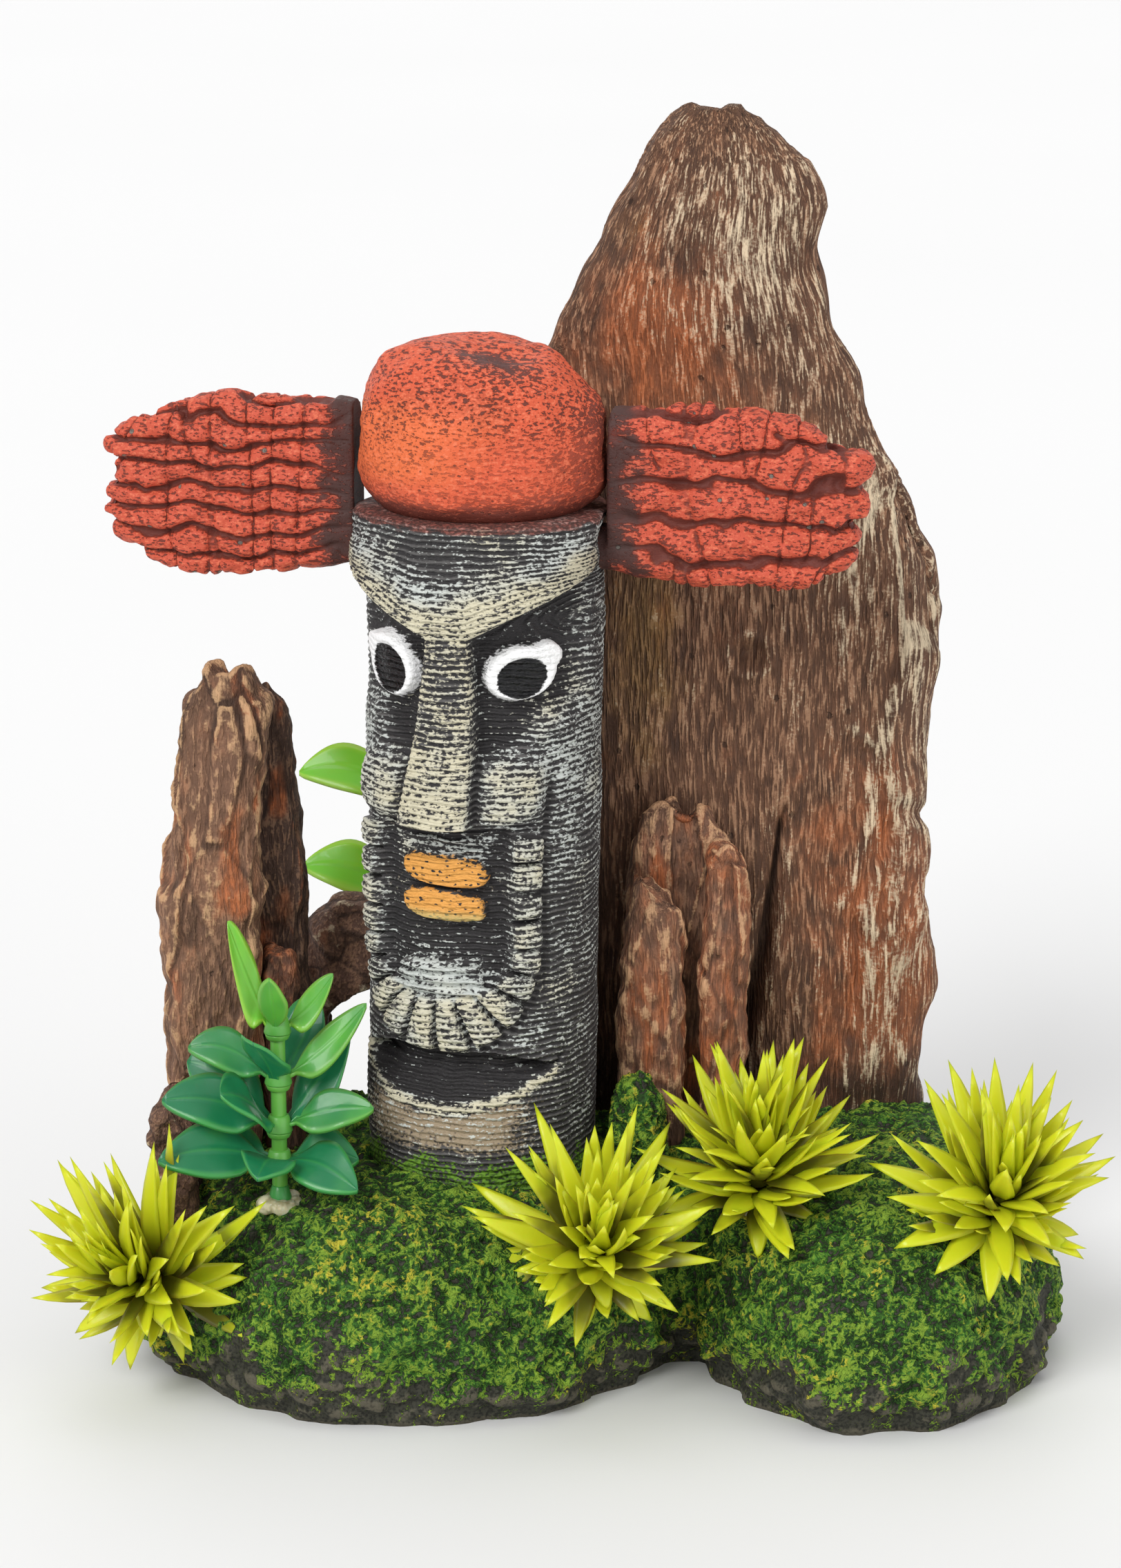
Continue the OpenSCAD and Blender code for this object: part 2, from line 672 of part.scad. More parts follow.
module tuft_stem(tuft) {
    color([0.60, 0.62, 0.16]) grass_stem(plants[tuft[0]], tuft[0] * 2 + 9);
}

// Rings of glue round every stem, sunk in the rock
module glue_beads() {
    color([0.88, 0.87, 0.80])
        for (p = plants)
            at_plant(p) translate([0, 0, -bead_sink])
                difference() {
                    union() {
                        cylinder(h = bead_h - bead_cone, r = bead_r, $fn = sides);
                        translate([0, 0, bead_h - bead_cone])
                            cylinder(h = bead_cone, r1 = bead_r, r2 = bead_r - bead_cone, $fn = sides);
                    }
                    translate([0, 0, -eps])
                        cylinder(h = bead_h + 2 * eps, r = stem_r + glue_gap, $fn = sides);
                }
}

mossy_base();
totem_column();
red_topknot();
left_wing();
right_wing();
driftwood_slab();
stump_crest();
stump_left_prong();
stump_right_prong();
left_post_front();
left_post_back();
arch_rock();
arch_plank();
corner_rock();
moss_knob();
broadleaf_stem();
broadleaf_lower_whorl();
broadleaf_middle_whorl();
broadleaf_upper_whorl();
broadleaf_top_sprig();
rear_plant_stem();
rear_plant_lower_whorl();
rear_plant_upper_whorl();
tuft_stem(left_grass);  // grass_left_stem
tuft_rosette(left_grass, 1, outer_z);  // grass_left_outer
tuft_rosette(left_grass, 2, inner_z);  // grass_left_inner
tuft_stem(centre_grass);  // grass_centre_stem
tuft_rosette(centre_grass, 1, outer_z);  // grass_centre_outer
tuft_rosette(centre_grass, 2, inner_z);  // grass_centre_inner
tuft_stem(middle_grass);  // grass_middle_stem
tuft_rosette(middle_grass, 1, outer_z);  // grass_middle_outer
tuft_rosette(middle_grass, 2, inner_z);  // grass_middle_inner
tuft_stem(right_grass);  // grass_right_stem
tuft_rosette(right_grass, 1, outer_z);  // grass_right_outer
tuft_rosette(right_grass, 2, inner_z);  // grass_right_inner
glue_beads();
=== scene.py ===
import itertools
import math

import bmesh
import bpy
import numpy as np
from bpy.props import FloatProperty, FloatVectorProperty, IntProperty, PointerProperty
from bpy.types import Operator, Panel, PropertyGroup
from mathutils import Matrix, Vector


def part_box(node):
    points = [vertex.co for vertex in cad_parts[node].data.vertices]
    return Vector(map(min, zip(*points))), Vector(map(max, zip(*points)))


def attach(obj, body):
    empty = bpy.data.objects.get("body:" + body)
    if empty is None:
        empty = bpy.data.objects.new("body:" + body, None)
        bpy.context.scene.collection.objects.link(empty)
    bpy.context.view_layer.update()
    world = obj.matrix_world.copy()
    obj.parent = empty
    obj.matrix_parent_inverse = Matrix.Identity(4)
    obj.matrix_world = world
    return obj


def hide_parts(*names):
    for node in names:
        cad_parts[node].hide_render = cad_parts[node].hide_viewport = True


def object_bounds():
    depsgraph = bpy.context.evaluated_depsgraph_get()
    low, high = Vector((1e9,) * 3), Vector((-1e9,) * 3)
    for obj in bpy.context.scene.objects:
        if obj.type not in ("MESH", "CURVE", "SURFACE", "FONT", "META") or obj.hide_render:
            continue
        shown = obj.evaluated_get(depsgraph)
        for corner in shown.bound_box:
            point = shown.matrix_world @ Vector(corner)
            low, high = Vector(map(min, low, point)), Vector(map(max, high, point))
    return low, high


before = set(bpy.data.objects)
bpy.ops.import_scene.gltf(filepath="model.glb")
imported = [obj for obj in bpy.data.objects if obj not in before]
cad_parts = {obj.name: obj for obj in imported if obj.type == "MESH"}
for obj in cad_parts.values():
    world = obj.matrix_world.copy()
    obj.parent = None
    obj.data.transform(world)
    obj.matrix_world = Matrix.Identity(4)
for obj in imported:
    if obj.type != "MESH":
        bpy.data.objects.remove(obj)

bl_info = {
    "name": "Tiki figure ornament",
    "version": (1, 0, 0),
    "blender": (4, 5, 0),
    "location": "3D View > Sidebar > Tiki figure",
    "description": "Sculpts, moulds and paints the tiki figure ornament over its fixed frame",
    "category": "Add Mesh",
}

CAD_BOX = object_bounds()
MM = 0.001
BENCH = 1 / MM  # the pieces are sculpted in millimetres and end in metres


def box_mm(node):
    """A CAD node's lowest and highest corners, in millimetres."""
    low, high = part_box(node)
    return np.array(low) * BENCH, np.array(high) * BENCH


KNOT_LOW, KNOT_HIGH = box_mm("red_topknot")
KNOT_R = (KNOT_HIGH[0] - KNOT_LOW[0]) / 2
AXIS = (KNOT_LOW[:2] + KNOT_HIGH[:2]) / 2
COLUMN_LOW, COLUMN_HIGH = box_mm("totem_column")
COLUMN_TOP = COLUMN_HIGH[2]
KNOT_OVERHANG = 0.7
COLUMN_R = KNOT_R - KNOT_OVERHANG
PEG_R = 3.5
PEG_DEPTH = COLUMN_TOP - KNOT_LOW[2]
ROCK_TOP = box_mm("mossy_base")[1][2]
WING_TURN = math.radians(9)


# ---- sculpting maths ------------------------------------------------------------------------


def ease(value, low, high):
    """0 below low, 1 above high, and a smooth rise between."""
    share = np.clip((value - low) / (high - low), 0, 1)
    return share * share * (3 - 2 * share)


def bell(value, width):
    """1 at zero, falling away smoothly on both sides."""
    return np.exp(-((value / width) ** 2))


def lay(under, over, cover):
    """over laid on under where cover is 1."""
    return under + (over - under) * cover


def scatter(cell, seed):
    """A repeatable random value from 0 to 1 for each whole-number place."""
    place = cell.astype(np.int64).astype(np.uint64)
    mixed = place[:, 0] * 73856093 ^ place[:, 1] * 19349663 ^ place[:, 2] * 83492791
    mixed = (mixed + np.uint64(seed * 40503 + 977)) & np.uint64(0xFFFFFFFF)
    for _ in range(2):
        mixed = ((mixed ^ (mixed >> np.uint64(15))) * 739981291) & np.uint64(0xFFFFFFFF)
    return ((mixed ^ (mixed >> np.uint64(13))) & np.uint64(0xFFFF)) / 65535.0


def noise(spots, seed=0):
    """Smooth noise, about -1 to 1."""
    cell = np.floor(spots)
    part = spots - cell
    fade = part**3 * (part * (part * 6 - 15) + 10)
    total = np.zeros(len(spots))
    for corner in itertools.product((0, 1), repeat=3):
        corner = np.array(corner)
        weight = np.where(corner, fade, 1 - fade).prod(axis=1)
        lean = np.stack([scatter(cell + corner, seed + k) for k in range(3)], axis=1) * 2 - 1
        total += weight * ((part - corner) * lean).sum(axis=1)
    return total * 1.5


def rough(spots, octaves=3, seed=0, gain=0.5):
    """Noise on several scales, each half the size of the one before."""
    total = np.zeros(len(spots))
    for k in range(octaves):
        total += gain**k * noise(spots * 2.0**k + 5.3 * k, seed + 11 * k)
    return total


def flakes(spots, seed=0):
    """Broken flakes: a random level from 0 to 1 for each, and the distance to its edge."""
    cell = np.floor(spots)
    nearest = np.full(len(spots), 9.0)
    second = nearest.copy()
    level = np.zeros(len(spots))
    for step in itertools.product((-1, 0, 1), repeat=3):
        there = cell + np.array(step)
        seat = there + np.stack([scatter(there, seed + k) for k in range(3)], axis=1)
        far = np.linalg.norm(spots - seat, axis=1)
        closer = far < nearest
        second = np.where(closer, nearest, np.minimum(second, far))
        level = np.where(closer, scatter(there, seed + 5), level)
        nearest = np.where(closer, far, nearest)
    return level, second - nearest


def along_line(x, z, line):
    """Sideways distance from a line that runs down through (x, z) points, and its height share."""
    heights = [point[1] for point in reversed(line)]
    places = [point[0] for point in reversed(line)]
    return x - np.interp(z, heights, places), (z - heights[0]) / (heights[-1] - heights[0])


# ---- the bench ------------------------------------------------------------------------------


class Casting:
    """A piece on the bench: its skin in millimetres, pushed about as clay would be."""

    def __init__(self, shape):
        self.mesh = bpy.data.meshes.new("skin")
        shape.to_mesh(self.mesh)
        shape.free()
        self.spots = self.read(self.mesh.vertices, "co")

    @staticmethod
    def read(items, name):
        flat = np.empty(len(items) * 3, np.float32)
        items.foreach_get(name, flat)
        return flat.reshape(-1, 3).astype(float)

    @property
    def xyz(self):
        return self.spots.T

    def write(self):
        self.mesh.vertices.foreach_set("co", self.spots.astype(np.float32).ravel())
        self.mesh.update()

    def facing(self):
        """The outward direction at every point."""
        self.write()
        return self.read(self.mesh.vertex_normals, "vector")

    def push(self, amount):
        """Moves the skin outwards by an amount for every point."""
        self.spots += self.facing() * np.asarray(amount)[:, None]

    def settled(self, rounds):
        """The points after rounds of evening out with their neighbours."""
        pairs = np.empty(len(self.mesh.edges) * 2, np.int64)
        self.mesh.edges.foreach_get("vertices", pairs)
        ends = pairs.reshape(-1, 2).T
        count = np.bincount(pairs, minlength=len(self.spots))[:, None]
        spots = self.spots
        for _ in range(rounds):
            total = np.zeros_like(spots)
            for k in range(3):
                total[:, k] = np.bincount(ends[0], spots[ends[1], k], len(spots))
                total[:, k] += np.bincount(ends[1], spots[ends[0], k], len(spots))
            spots = total / count
        return spots

    def raised(self, rounds):
        """How far each point stands out of its surroundings."""
        return ((self.spots - self.settled(rounds)) * self.facing()).sum(axis=1)

    def paint(self, name, values):
        """Keeps a value for every point, which the piece's finish reads by name."""
        layer = self.mesh.attributes.new(name, "FLOAT", "POINT")
        layer.data.foreach_set("value", np.asarray(values, np.float32))

    def paint_run(self, name, run):
        """Keeps a place in the grain for every point."""
        layer = self.mesh.attributes.new(name, "FLOAT_VECTOR", "POINT")
        layer.data.foreach_set("vector", np.asarray(run, np.float32).ravel())

    def place(self, node, finish, slot, body="root"):
        """Ends the piece as an object in metres that stands for its CAD node."""
        self.spots *= MM
        self.write()
        return placed(self.mesh, node, finish, body)


def placed(mesh, node, finish, body="root"):
    """An object at the origin that rides on a body and stands for a CAD node."""
    mesh.shade_smooth()
    mesh.materials.append(finish)
    piece = bpy.data.objects.new(node + "_finished", mesh)
    mesh.name = piece.name
    bpy.context.scene.collection.objects.link(piece)
    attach(piece, body)
    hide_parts(node)
    return piece


def node_copy(node):
    """A merged copy of a CAD node's mesh, in millimetres."""
    shape = bmesh.new()
    shape.from_mesh(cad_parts[node].data)
    shape.transform(Matrix.Scale(BENCH, 4))
    bmesh.ops.remove_doubles(shape, verts=shape.verts, dist=0.01)
    return shape


def even_skin(shape, spacing):
    """The same solid under an even skin of small faces, several overlapping solids becoming one."""
    coarse = bpy.data.meshes.new("coarse")
    shape.to_mesh(coarse)
    shape.free()
    helper = bpy.data.objects.new("helper", coarse)
    bpy.context.scene.collection.objects.link(helper)
    skin = helper.modifiers.new("skin", "REMESH")
    skin.mode = "VOXEL"
    skin.voxel_size = spacing
    graph = bpy.context.evaluated_depsgraph_get()
    fine = bmesh.new()
    fine.from_mesh(helper.evaluated_get(graph).to_mesh())
    helper.evaluated_get(graph).to_mesh_clear()
    bpy.data.objects.remove(helper)
    bpy.data.meshes.remove(coarse)
    return Casting(fine)


def turned(profile, steps):
    """A closed skin turned about the totem's upright axis, from (radius, height) points."""
    shape = bmesh.new()
    line = [shape.verts.new((radius, 0, height)) for radius, height in profile]
    edges = [shape.edges.new(pair) for pair in zip(line, line[1:])]
    bmesh.ops.spin(shape, geom=line + edges, axis=(0, 0, 1), angle=math.tau, steps=steps,
                   use_merge=True)
    bmesh.ops.remove_doubles(shape, verts=shape.verts, dist=0.001)
    bmesh.ops.recalc_face_normals(shape, faces=shape.faces)
    return Casting(shape)


# ---- finishes -------------------------------------------------------------------------------


class Wire:
    """A socket's value, so that shader maths reads as an expression."""

    def __init__(self, finish, socket):
        self.finish = finish
        self.socket = socket

    def maths(self, operation, first, second=0.0):
        return self.finish.node("Math", {"operation": operation}, {0: first, 1: second})

    def __add__(self, other):
        return self.maths("ADD", self, other)

    __radd__ = __add__

    def __sub__(self, other):
        return self.maths("SUBTRACT", self, other)

    def __rsub__(self, other):
        return self.maths("SUBTRACT", other, self)

    def __mul__(self, other):
        return self.maths("MULTIPLY", self, other)

    __rmul__ = __mul__

    def cosine(self):
        return self.maths("COSINE", self)

    def size(self):
        return self.maths("ABSOLUTE", self)

    def least(self, other):
        return self.maths("MINIMUM", self, other)

    def most(self, other):
        return self.maths("MAXIMUM", self, other)

    def rise(self, low, high):
        """0 below low, 1 above high, and a smooth rise between."""
        return self.finish.node("MapRange", {"interpolation_type": "SMOOTHSTEP"},
                                {"Value": self, "From Min": low, "From Max": high})

    def fall(self, low, high):
        return 1 - self.rise(low, high)


class Finish:
    """A painted or moulded surface, built up from nodes."""

    def __init__(self, name):
        self.material = bpy.data.materials.new(name)
        self.material.use_nodes = True
        self.tree = self.material.node_tree
        self.shader = self.tree.nodes["Principled BSDF"]

    def feed(self, socket, value):
        if isinstance(value, Wire):
            self.tree.links.new(value.socket, socket)
        else:
            socket.default_value = value

    def node(self, kind, settings, sockets, output=0):
        """Adds any node: its settings first, then the values or links of its sockets."""
        made = self.tree.nodes.new("ShaderNode" + kind)
        for name, value in settings.items():
            setattr(made, name, value)
        for name, value in sockets.items():
            self.feed(made.inputs[name], value)
        return Wire(self, made.outputs[output])

    def paint(self, name):
        """A value that the sculptor left on the piece."""
        return self.node("Attribute", {"attribute_name": name}, {}, "Fac")

    def grain_run(self):
        return self.node("Attribute", {"attribute_name": "run"}, {}, "Vector")

    def place(self):
        """The place on the piece, in millimetres."""
        spot = self.node("TexCoord", {}, {}, "Object")
        return self.node("VectorMath", {"operation": "SCALE"}, {0: spot, "Scale": BENCH})

    def noise(self, spot, size, stretch=(1, 1, 1), detail=2.0, roughness=0.5, twist=0.0):
        """Noise from 0 to 1 whose blobs are about a size in millimetres, longer along stretch."""
        scale = tuple(1 / (size * s) for s in stretch)
        spot = self.node("VectorMath", {"operation": "MULTIPLY"}, {0: spot, 1: scale})
        return self.node("TexNoise", {}, {"Vector": spot, "Scale": 1.0, "Detail": detail,
                                          "Roughness": roughness, "Distortion": twist})

    def pits(self, spot, size, stretch=(1, 1, 1)):
        """Distance to the nearest of many scattered points, in shares of their spacing."""
        scale = tuple(1 / (size * s) for s in stretch)
        spot = self.node("VectorMath", {"operation": "MULTIPLY"}, {0: spot, 1: scale})
        return self.node("TexVoronoi", {}, {"Vector": spot, "Scale": 1.0})

    def mix(self, under, over, cover, blend="MIX"):
        """One colour laid over another where cover is 1."""
        return self.node("Mix", {"data_type": "RGBA", "blend_type": blend},
                         {0: cover, 6: under, 7: over}, 2)

    def coat(self, colour, roughness, height=None, depth=0.3, strength=1.0):
        """Feeds the surface its colour, its roughness and its relief, depth in millimetres."""
        self.feed(self.shader.inputs["Base Color"], colour)
        self.feed(self.shader.inputs["Roughness"], roughness)
        if height is not None:
            relief = self.node("Bump", {}, {"Height": height, "Distance": depth * MM,
                                            "Strength": strength})
            self.feed(self.shader.inputs["Normal"], relief)
        return self

    def set(self, **values):
        """Constants of the surface, such as its specular level."""
        for name, value in values.items():
            socket = name.replace("_", " ").title().replace("Ior", "IOR")
            self.shader.inputs[socket].default_value = value
        return self.material


def linear(red, green, blue):
    """A paint chart colour, 0 to 255, as the shader wants it."""
    chart = (red, green, blue)
    return tuple(((c / 255 + 0.055) / 1.055) ** 2.4 if c > 10 else c / 3295 for c in chart) + (1.0,)


def darker(paint, share):
    """A paint at a share of its brightness."""
    return tuple(c * share for c in paint[:3]) + (1,)


def colour(name, description, red, green, blue):
    return FloatVectorProperty(name=name, description=description, subtype="COLOR", size=4,
                               min=0, max=1, default=linear(red, green, blue))


def length(name, description, millimetres):
    return FloatProperty(name=name, description=description, default=millimetres * MM,
                         min=0, precision=4, unit="LENGTH", subtype="DISTANCE")


# ---- settings -------------------------------------------------------------------------------


class RockSettings(PropertyGroup):
    skin: length("Skin spacing", "Size of the faces of the rock's skin", 0.62)
    lumps: length("Lumps", "Height of the rock's lumps", 2.0)
    worm_size: length("Moss spacing", "Distance between neighbouring ridges of moss", 2.3)
    worm_height: length("Moss height", "Height of the ridges of moss", 0.85)
    bare_to: length("Bare edge", "Height up to which bare rock shows in patches", 9)
    rock: colour("Rock", "Bare dark rock", 58, 58, 48)
    moss: colour("Moss", "Green of the moss", 76, 134, 44)
    lime: colour("Lime", "Fresh tips of the moss", 142, 172, 54)
    yellow: colour("Yellow", "Brightest tips of the moss", 208, 192, 60)


class TotemSettings(PropertyGroup):
    face_turn: FloatProperty(name="Face turn", description="Turn of the face to the left of the front",
                             default=math.radians(24), subtype="ANGLE")
    groove_pitch: length("Groove pitch", "Distance between the horizontal grooves", 1.0)
    groove_depth: length("Groove depth", "Depth of the horizontal grooves", 0.13)
    charcoal: colour("Charcoal", "Dark wash in the grooves", 50, 48, 49)
    slate: colour("Slate", "Grey of the bare stone", 98, 96, 95)
    ivory: colour("Ivory", "Warm dry brushing", 218, 211, 184)
    frost: colour("Frost", "Cool dry brushing", 208, 213, 208)
    white: colour("Eye white", "Paint of the eyes' rings", 250, 250, 250)
    pupil: colour("Pupil", "Glossy paint of the pupils", 22, 22, 24)
    lips: colour("Lips", "Paint of the lips", 236, 168, 84)
    tan: colour("Tan", "Weathered foot of the stone", 168, 150, 124)
    umber: colour("Umber", "Brown dust near the slab", 66, 50, 44)


class RedSettings(PropertyGroup):
    left_bands: IntProperty(name="Left bands", description="Ridges along the left wing", default=8)
    right_bands: IntProperty(name="Right bands", description="Ridges along the right wing", default=5)
    band_depth: length("Band depth", "Depth of the grooves between the ridges", 1.0)
    coral: colour("Coral", "Red paint", 212, 90, 58)
    brick: colour("Brick", "Darker red of the wings", 200, 84, 60)
    # Painted light: the lighter orange of the topknot's lit left side.
    lit_orange: colour("Orange", "Lighter paint low on the topknot", 228, 112, 62)
    fleck: colour("Fleck", "Dark flecks and grooves", 92, 50, 44)
    bubble: colour("Bubble", "Bare grey in the small pits", 120, 112, 104)


class WoodSettings(PropertyGroup):
    grain: length("Grain", "Distance between the lines of the grain", 0.85)
    plate_step: length("Plate step", "Height of the plates of split wood", 1.1)
    brown: colour("Brown", "Stained wood", 140, 100, 76)
    dark: colour("Dark", "Grooves and cracks of the wood", 58, 42, 35)
    tan: colour("Tan", "Lighter lines of the grain", 176, 136, 106)
    cream: colour("Cream", "Dry brushing on the grain", 232, 214, 182)
    rust: colour("Rust", "Orange stain", 196, 104, 52)
    olive: colour("Olive", "Yellow-green stain", 150, 122, 54)


class PlantSettings(PropertyGroup):
    leaf: colour("Leaf", "Old leaves of the broad-leaf plant", 24, 118, 74)
    leaf_edge: colour("Leaf edge", "Paler edges and ribs", 74, 170, 70)
    young: colour("Young leaf", "Young leaves and sprigs", 112, 196, 40)
    blade: colour("Blade", "Grass blades", 208, 214, 36)
    # Painted highlight colour along the middle of the blades.
    blade_highlight: colour("Blade tip", "Pale worn highlights of the blades", 218, 218, 96)
    blade_root: colour("Blade root", "Dark roots of the blades", 96, 96, 26)
    glue: colour("Glue", "Pale hot glue", 214, 208, 176)


class StageSettings(PropertyGroup):
    height_angle: FloatProperty(name="Camera height", description="Angle of the camera above level",
                                default=math.radians(15), subtype="ANGLE")
    distance: FloatProperty(name="Distance", description="From the camera to the ornament",
                            default=0.7, unit="LENGTH", subtype="DISTANCE")
    view_height: FloatProperty(name="View height", description="Height that the camera frames",
                               default=0.2385, unit="LENGTH", subtype="DISTANCE")
    key: FloatProperty(name="Key light", description="Strength of the main soft light", default=1.7)
    floor: colour("Floor", "Plain pale floor", 238, 238, 238)


SETTINGS = {
    "tiki_rock": RockSettings,
    "tiki_totem": TotemSettings,
    "tiki_red": RedSettings,
    "tiki_wood": WoodSettings,
    "tiki_plants": PlantSettings,
    "tiki_stage": StageSettings,
}


# ---- rock and moss --------------------------------------------------------------------------

# Lobes of the rock: centre x, centre y, half width, half depth, height
LOBES = [(-23, 3, 44.5, 43, ROCK_TOP), (22, 15, 34, 31, ROCK_TOP - 1.5), (47, 2, 30, 45, ROCK_TOP - 1)]
LOBE_FLAT = 3
UNDERCUT = 0.94


def rock_lobes():
    """The lobes as overlapping domes with flat feet."""
    shape = bmesh.new()
    for x, y, half_width, half_depth, height in LOBES:
        ball = bmesh.ops.create_uvsphere(shape, u_segments=64, v_segments=48, radius=1)["verts"]
        for vert in ball:
            level = max(vert.co.z, 0)
            ring = math.hypot(vert.co.x, vert.co.y) or 1
            reach = (1 - level**LOBE_FLAT) ** (1 / LOBE_FLAT) if vert.co.z > 0 else ring
            vert.co.x = x + vert.co.x / ring * reach * half_width
            vert.co.y = y + vert.co.y / ring * reach * half_depth
            vert.co.z = level * height + min(vert.co.z, 0) * 0.01
    return shape


def moss_relief(spots, worm_size, seed):
    """Crinkled ridges of moss, 0 in the hollows and 1 on the crests."""
    bent = spots / worm_size + 0.5 * np.stack([noise(spots / 3.1, seed + k) for k in range(3)], axis=1)
    return np.clip(1 - np.abs(noise(bent, seed + 7)) * 2.4, 0, 1)


def moss_finish(rock):
    """Dark rock under crinkled green moss with yellow tips."""
    look = Finish("mossed_rock")
    spot = look.place()
    crest = look.paint("crest")
    cover = look.paint("moss")
    worm = 1 - (look.noise(spot, 1.15, detail=3, twist=0.8) - 0.5).size() * 7
    worm = worm.most(0)
    fine = look.noise(spot, 0.5, detail=2)
    patch = look.noise(spot, 9, detail=2)
    mossy = (cover + (patch - 0.5) * 0.7 + (worm - 0.5) * 0.75 + (crest - 0.4) * 0.8).rise(0.54, 0.74)
    stone = look.mix(rock.rock, darker(rock.rock, 0.35), fine.fall(0.35, 0.6))
    stone = look.mix(stone, linear(104, 98, 82), (look.paint("stand") + (fine - 0.5)).rise(0.35, 0.9) * 0.6)
    lift = (worm * 0.55 + crest * 0.6 + (fine - 0.5) * 0.8).rise(0.25, 0.95)
    broad = look.noise(spot, 16, detail=1)
    green = look.mix(darker(rock.moss, 0.14), rock.moss, lift)
    green = look.mix(green, rock.lime, (lift + (patch - 0.5) * 0.9).rise(0.62, 1.0) * 0.8)
    gold = (look.noise(spot, 1.5, detail=3) + lift * 0.5 + (broad - 0.5) * 0.7).rise(1.04, 1.2)
    green = look.mix(green, rock.yellow, gold * 0.8)
    height = worm * mossy + fine * 0.35
    return look.coat(look.mix(stone, green, mossy), 0.72, height, 0.5, 0.9).set(specular_ior_level=0.3)


def make_rock(rock, finish):
    rock_skin = even_skin(rock_lobes(), rock.skin * BENCH)
    x, y, z = rock_skin.xyz
    foot = ease(z, 0, 4.5)
    for lobe in LOBES:
        near = np.hypot((x - lobe[0]) / lobe[2], (y - lobe[1]) / lobe[3])
        pull = (1 - foot) * (1 - UNDERCUT) * ease(near, 0.75, 1) * (near < 1.05)
        rock_skin.spots[:, 0] -= (x - lobe[0]) * pull
        rock_skin.spots[:, 1] -= (y - lobe[1]) * pull
    inner = np.min([np.hypot((x - lobe[0]) / lobe[2], (y - lobe[1]) / lobe[3]) for lobe in LOBES], axis=0)
    ripple = np.stack([noise(rock_skin.spots / (7.5, 7.5, 16), 15 + k) for k in range(2)], axis=1)
    rock_skin.spots[:, :2] += ripple * 2.6 * (ease(inner, 0.7, 0.9) * (1 - ease(z, 9, 20)))[:, None]
    spots = rock_skin.spots.copy()
    free = ease(z, 0.4, 2.5)
    lumps = rough(spots / 17, 3, 4) * 1.5 + np.abs(noise(spots / 6.5, 21)) * 0.9 - 0.6
    level, edge = flakes(spots / (5.2, 5.2, 4.2), 9)
    low = 1 - ease(z, 6, 15)
    boulders = (ease(edge, 0, 0.35) - 0.6) * (0.5 + 0.9 * low) + (level - 0.5) * 0.7 * low
    rock_skin.push((lumps * rock.lumps * BENCH * 0.5 + boulders * 0.8) * free)
    rock_skin.spots = lay(rock_skin.spots, rock_skin.settled(1), 0.5)
    bare = 1 - ease(z - rock.bare_to * BENCH + 9 * noise(spots / 11, 33), -5, 3)
    moss = np.clip(1.05 - bare - 0.35 * ease(noise(spots / 7, 41), 0.25, 0.6), 0, 1)
    crest = moss_relief(spots, rock.worm_size * BENCH, 50)
    clumps = ease(noise(spots / 5.5, 61), -0.3, 0.6)
    rock_skin.push((crest * (0.45 + 0.75 * clumps) * moss - 0.15) * rock.worm_height * BENCH * 1.3 * free)
    rock_skin.spots[:, 2] = np.where(z < 0.4, 0, np.maximum(rock_skin.spots[:, 2], 0))
    rock_skin.paint("moss", moss)
    rock_skin.paint("crest", crest)
    rock_skin.paint("stand", np.clip(rock_skin.raised(4) * 2 + 0.3, 0, 1))
    rock_skin.place("mossy_base", finish, "mossed_rock")


def make_knob(rock, finish):
    knob = even_skin(node_copy("moss_knob"), 0.3)
    spots = knob.spots.copy()
    crest = moss_relief(spots, rock.worm_size * BENCH * 0.8, 77)
    knob.push(crest * rock.worm_height * BENCH + rough(spots / 4, 2, 80) * 0.6)
    knob.paint("moss", np.ones(len(spots)))
    knob.paint("crest", crest)
    knob.paint("stand", crest)
    knob.place("moss_knob", finish, "mossed_rock")


class TIKI_OT_rock(Operator):
    """Sculpt the mossy two-lobed rock and the mossed knob"""

    bl_idname = "tiki.rock"
    bl_label = "Mossy rock"

    def execute(self, context):
        rock = context.scene.tiki_rock
        finish = moss_finish(rock)
        make_rock(rock, finish)
        make_knob(rock, finish)
        return {"FINISHED"}


# ---- totem ----------------------------------------------------------------------------------

# Places on the face, in millimetres: sideways from its middle round the column, and above the rock
BROW_FOOT, BROW_TIP, BROW_HALF = 82.6, 91.7, 24
EYE_OUT, EYE_H, EYE_HALF_W, EYE_HALF_H = 12.0, 77.4, 6.4, 4.15
NOSE_TOP, NOSE_FOOT = 83.0, 54.1
FLARE_OUT, FLARE_H, FLARE_HALF_W, FLARE_HALF_H = 10.6, 59.6, 6.8, 6.4
LIP_MID, LIP_H, LIP_HALF = 1.0, 44.4, 7.3
JAW_HALF, JAW_H, JAW_TOP, JAW_DROP = 14.3, 35.0, 53.0, 12.0
TOOTH, TOOTH_TURN, JAW_GROOVE_OUT = 4.5, math.radians(18), 17.3
COLLAR_H, COLLAR_RISE, COLLAR_HALF = 10.3, 6.0, 19.5
SCOOP_TOP = 19.0


